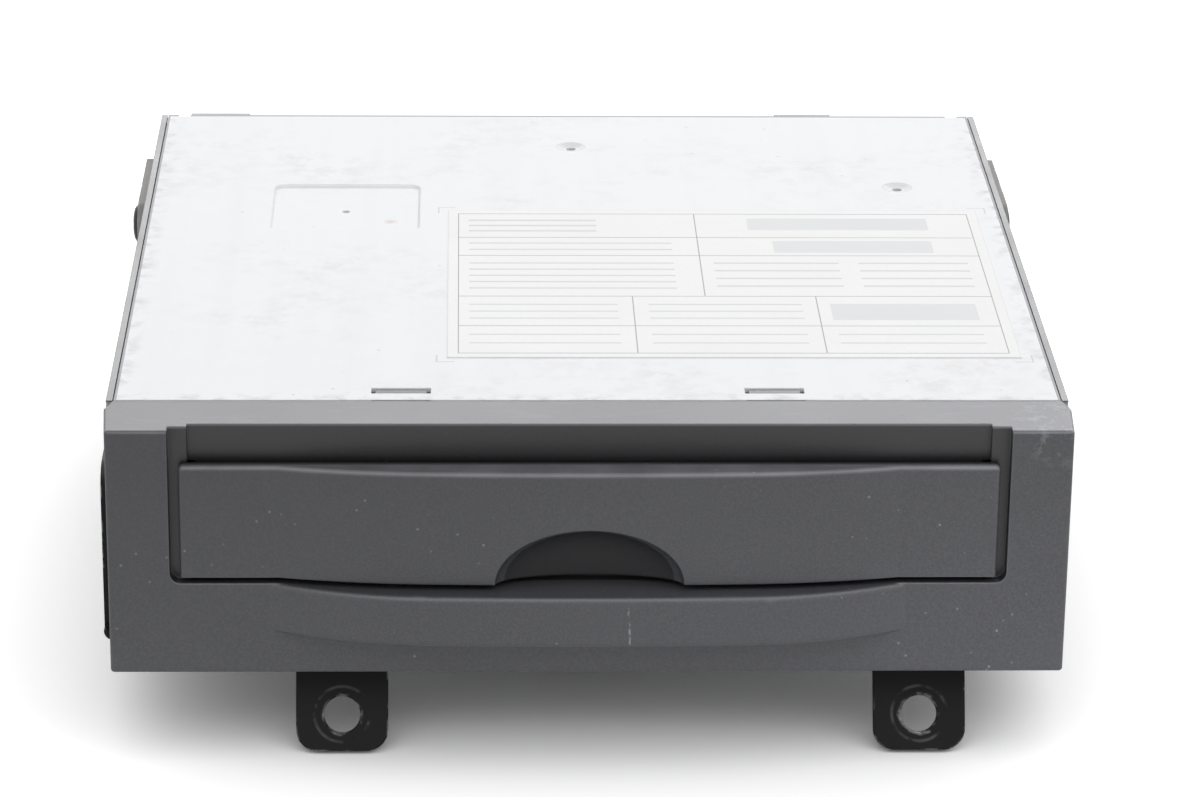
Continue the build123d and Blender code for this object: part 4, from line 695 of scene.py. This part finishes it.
materials = {
    "cover_steel": cover_finish(),
    "case_steel": rolled_steel("case_zinc", linear(206, 209, 212), 0.38, spangle=0.25,
                               cut=(sheared_low, linear(84, 83, 82))),
    "cradle_paint": cradle_finish(),
    "label_paper": paper_finish(),
    "bezel_plastic": bezel_finish(),
    "black_plastic": moulded("black_plastic", linear(34, 34, 36), 0.46, dust=0.3),
    "white_plastic": moulded("white_plastic", linear(222, 220, 212), 0.42, bump=0.08, worn=0.15),
    "spring_steel": rolled_steel("spring_steel", linear(188, 188, 186), 0.26, streak=1.4),
    "felt": felt_finish(),
    "screw_steel": rolled_steel("screw_zinc", linear(196, 194, 184), 0.3, bevel=0.0004),
    "black_screw": rolled_steel("screw_black", linear(58, 58, 60), 0.36, metallic=0.8, bevel=0.0004),
    "board_green": board_finish(),
    "chip_black": chip_finish(),
    "capacitor_sleeve": sleeve_finish(),
    "can_tin": rolled_steel("can_tin", linear(198, 198, 194), 0.3, spangle=0.15),
    "insulator_film": film_finish(),
    "contact_brass": rolled_steel("contact_brass", linear(206, 176, 104), 0.28),
    "drive_steel": rolled_steel("drive_zinc", linear(184, 187, 190), 0.36, spangle=0.2),
    "rubber": moulded("damper_rubber", linear(28, 28, 29), 0.72, grain=1500, bump=0.25, dust=0.5, worn=0.1),
    "roller_rubber": moulded("roller_rubber", linear(52, 50, 48), 0.66, grain=1200, bump=0.2, dust=0.3,
                             worn=0.1),
    "shaft_steel": rolled_steel("shaft_steel", linear(204, 204, 204), 0.2, streak=0.6),
    "motor_steel": rolled_steel("motor_can", linear(172, 174, 176), 0.3, streak=0.8),
    "lens_glass": glass_finish(),
    "ribbon": ribbon_finish(),
}
for entry in frame["record"]["subparts"]:
    obj = nodes[entry["node"]]
    finish = materials[entry["material_slot"]]
    if len(obj.material_slots) == 0:
        obj.data.materials.append(finish)
    for place in obj.material_slots:
        place.material = finish

# Screws with driver recesses
case_places = [((side * case_screw_x, front_mm + back, base_mm + up), (side, 0, 0))
               for side in (-1, 1) for back, up in case_screws_at]
case_screws = driver_screws("case_screws", case_places, head=4.0, height=1.6, shank=2.0, reach=5.0,
                            material=materials["black_screw"])
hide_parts("cradle_screws")
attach(case_screws, "housing")
panel_places = [((side * panel_screw_x, panel_screw_y, base_mm + up), (0, 1, 0))
                for side in (-1, 1) for up in panel_screws_at]
panel_screws = driver_screws("panel_screws", panel_places, head=3.0, height=1.6, shank=1.5, reach=5.6,
                             material=materials["screw_steel"])
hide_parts("rear_panel_screws")
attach(panel_screws, "housing")

# Floor, with a glow that only the camera sees and that fades where the object closes the floor in
floor_size = 4.0
glow_reach = 0.14
glow_strength = 0.5
ground = bmesh.new()
bmesh.ops.create_grid(ground, x_segments=8, y_segments=8, size=floor_size)
floor = mesh_object("floor", ground)
paper = Recipe("floor_paper")
opening = paper.add("ShaderNodeAmbientOcclusion", samples=16)
opening.inputs["Distance"].default_value = glow_reach
eye = paper.add("ShaderNodeLightPath")
glow = paper.times((opening, "AO"), (eye, "Is Camera Ray"), glow_strength)
paper_tone = paper.mix(paper.noise(1.4, 2), linear(252, 252, 252), linear(255, 255, 255))
paper.set(paper_tone, 0.85, Specular_IOR_Level=0.1, Emission_Color=(1, 1, 1), Emission_Strength=glow)
floor.data.materials.append(paper.material)

# World: white to the camera, in reflections and through clear pieces, dimmer as a light
world = bpy.data.worlds.new("studio")
scene.world = world
studio = Nodes(world)
ray = studio.add("ShaderNodeLightPath")
seen = studio.highest((ray, "Is Camera Ray"), (ray, "Is Glossy Ray"), (ray, "Is Transmission Ray"))
strength = studio.add("ShaderNodeMapRange")
strength.inputs["To Min"].default_value = 0.55
strength.inputs["To Max"].default_value = 1.0
studio.feed(seen, strength.inputs["Value"])
sky = studio.add("ShaderNodeBackground")
studio.feed((1, 1, 1), sky.inputs["Color"])
studio.feed((strength, 0), sky.inputs["Strength"])
shown = studio.add("ShaderNodeOutputWorld")
studio.feed((sky, 0), shown.inputs["Surface"])


# Lamps and camera
def soft_lamp(name, spot, target, width, height, power):
    data = bpy.data.lights.new(name, "AREA")
    data.shape = "RECTANGLE"
    data.size = width
    data.size_y = height
    data.energy = power
    lamp = bpy.data.objects.new(name, data)
    scene.collection.objects.link(lamp)
    lamp.location = spot
    lamp.rotation_euler = (Vector(target) - Vector(spot)).to_track_quat("-Z", "Y").to_euler()


soft_lamp("overhead", spot=(0.25, -0.85, 1.4), target=(0, -0.05, 0.05), width=2.4, height=1.4, power=13.8)
soft_lamp("behind", spot=(0.1, 1.7, 0.72), target=(0, 0.0, 0.05), width=2.2, height=0.5, power=11)

camera_data = bpy.data.cameras.new("camera")
camera_data.sensor_width = 36
camera_data.sensor_fit = "HORIZONTAL"
camera_data.lens = 135.53
camera_data.clip_start = 0.05
camera = bpy.data.objects.new("camera", camera_data)
scene.collection.objects.link(camera)
camera_spot = (-0.02343, -0.85235, 0.37622)
camera_right = (0.99954, -0.02834, 0.01146)
camera_up = (-0.00018, 0.36950, 0.92923)
camera_back = (-0.03057, -0.92880, 0.36932)
camera_turn = Matrix((camera_right, camera_up, camera_back)).transposed().to_4x4()
camera.matrix_world = Matrix.Translation(camera_spot) @ camera_turn
scene.camera = camera
scene.view_settings.view_transform = "Standard"
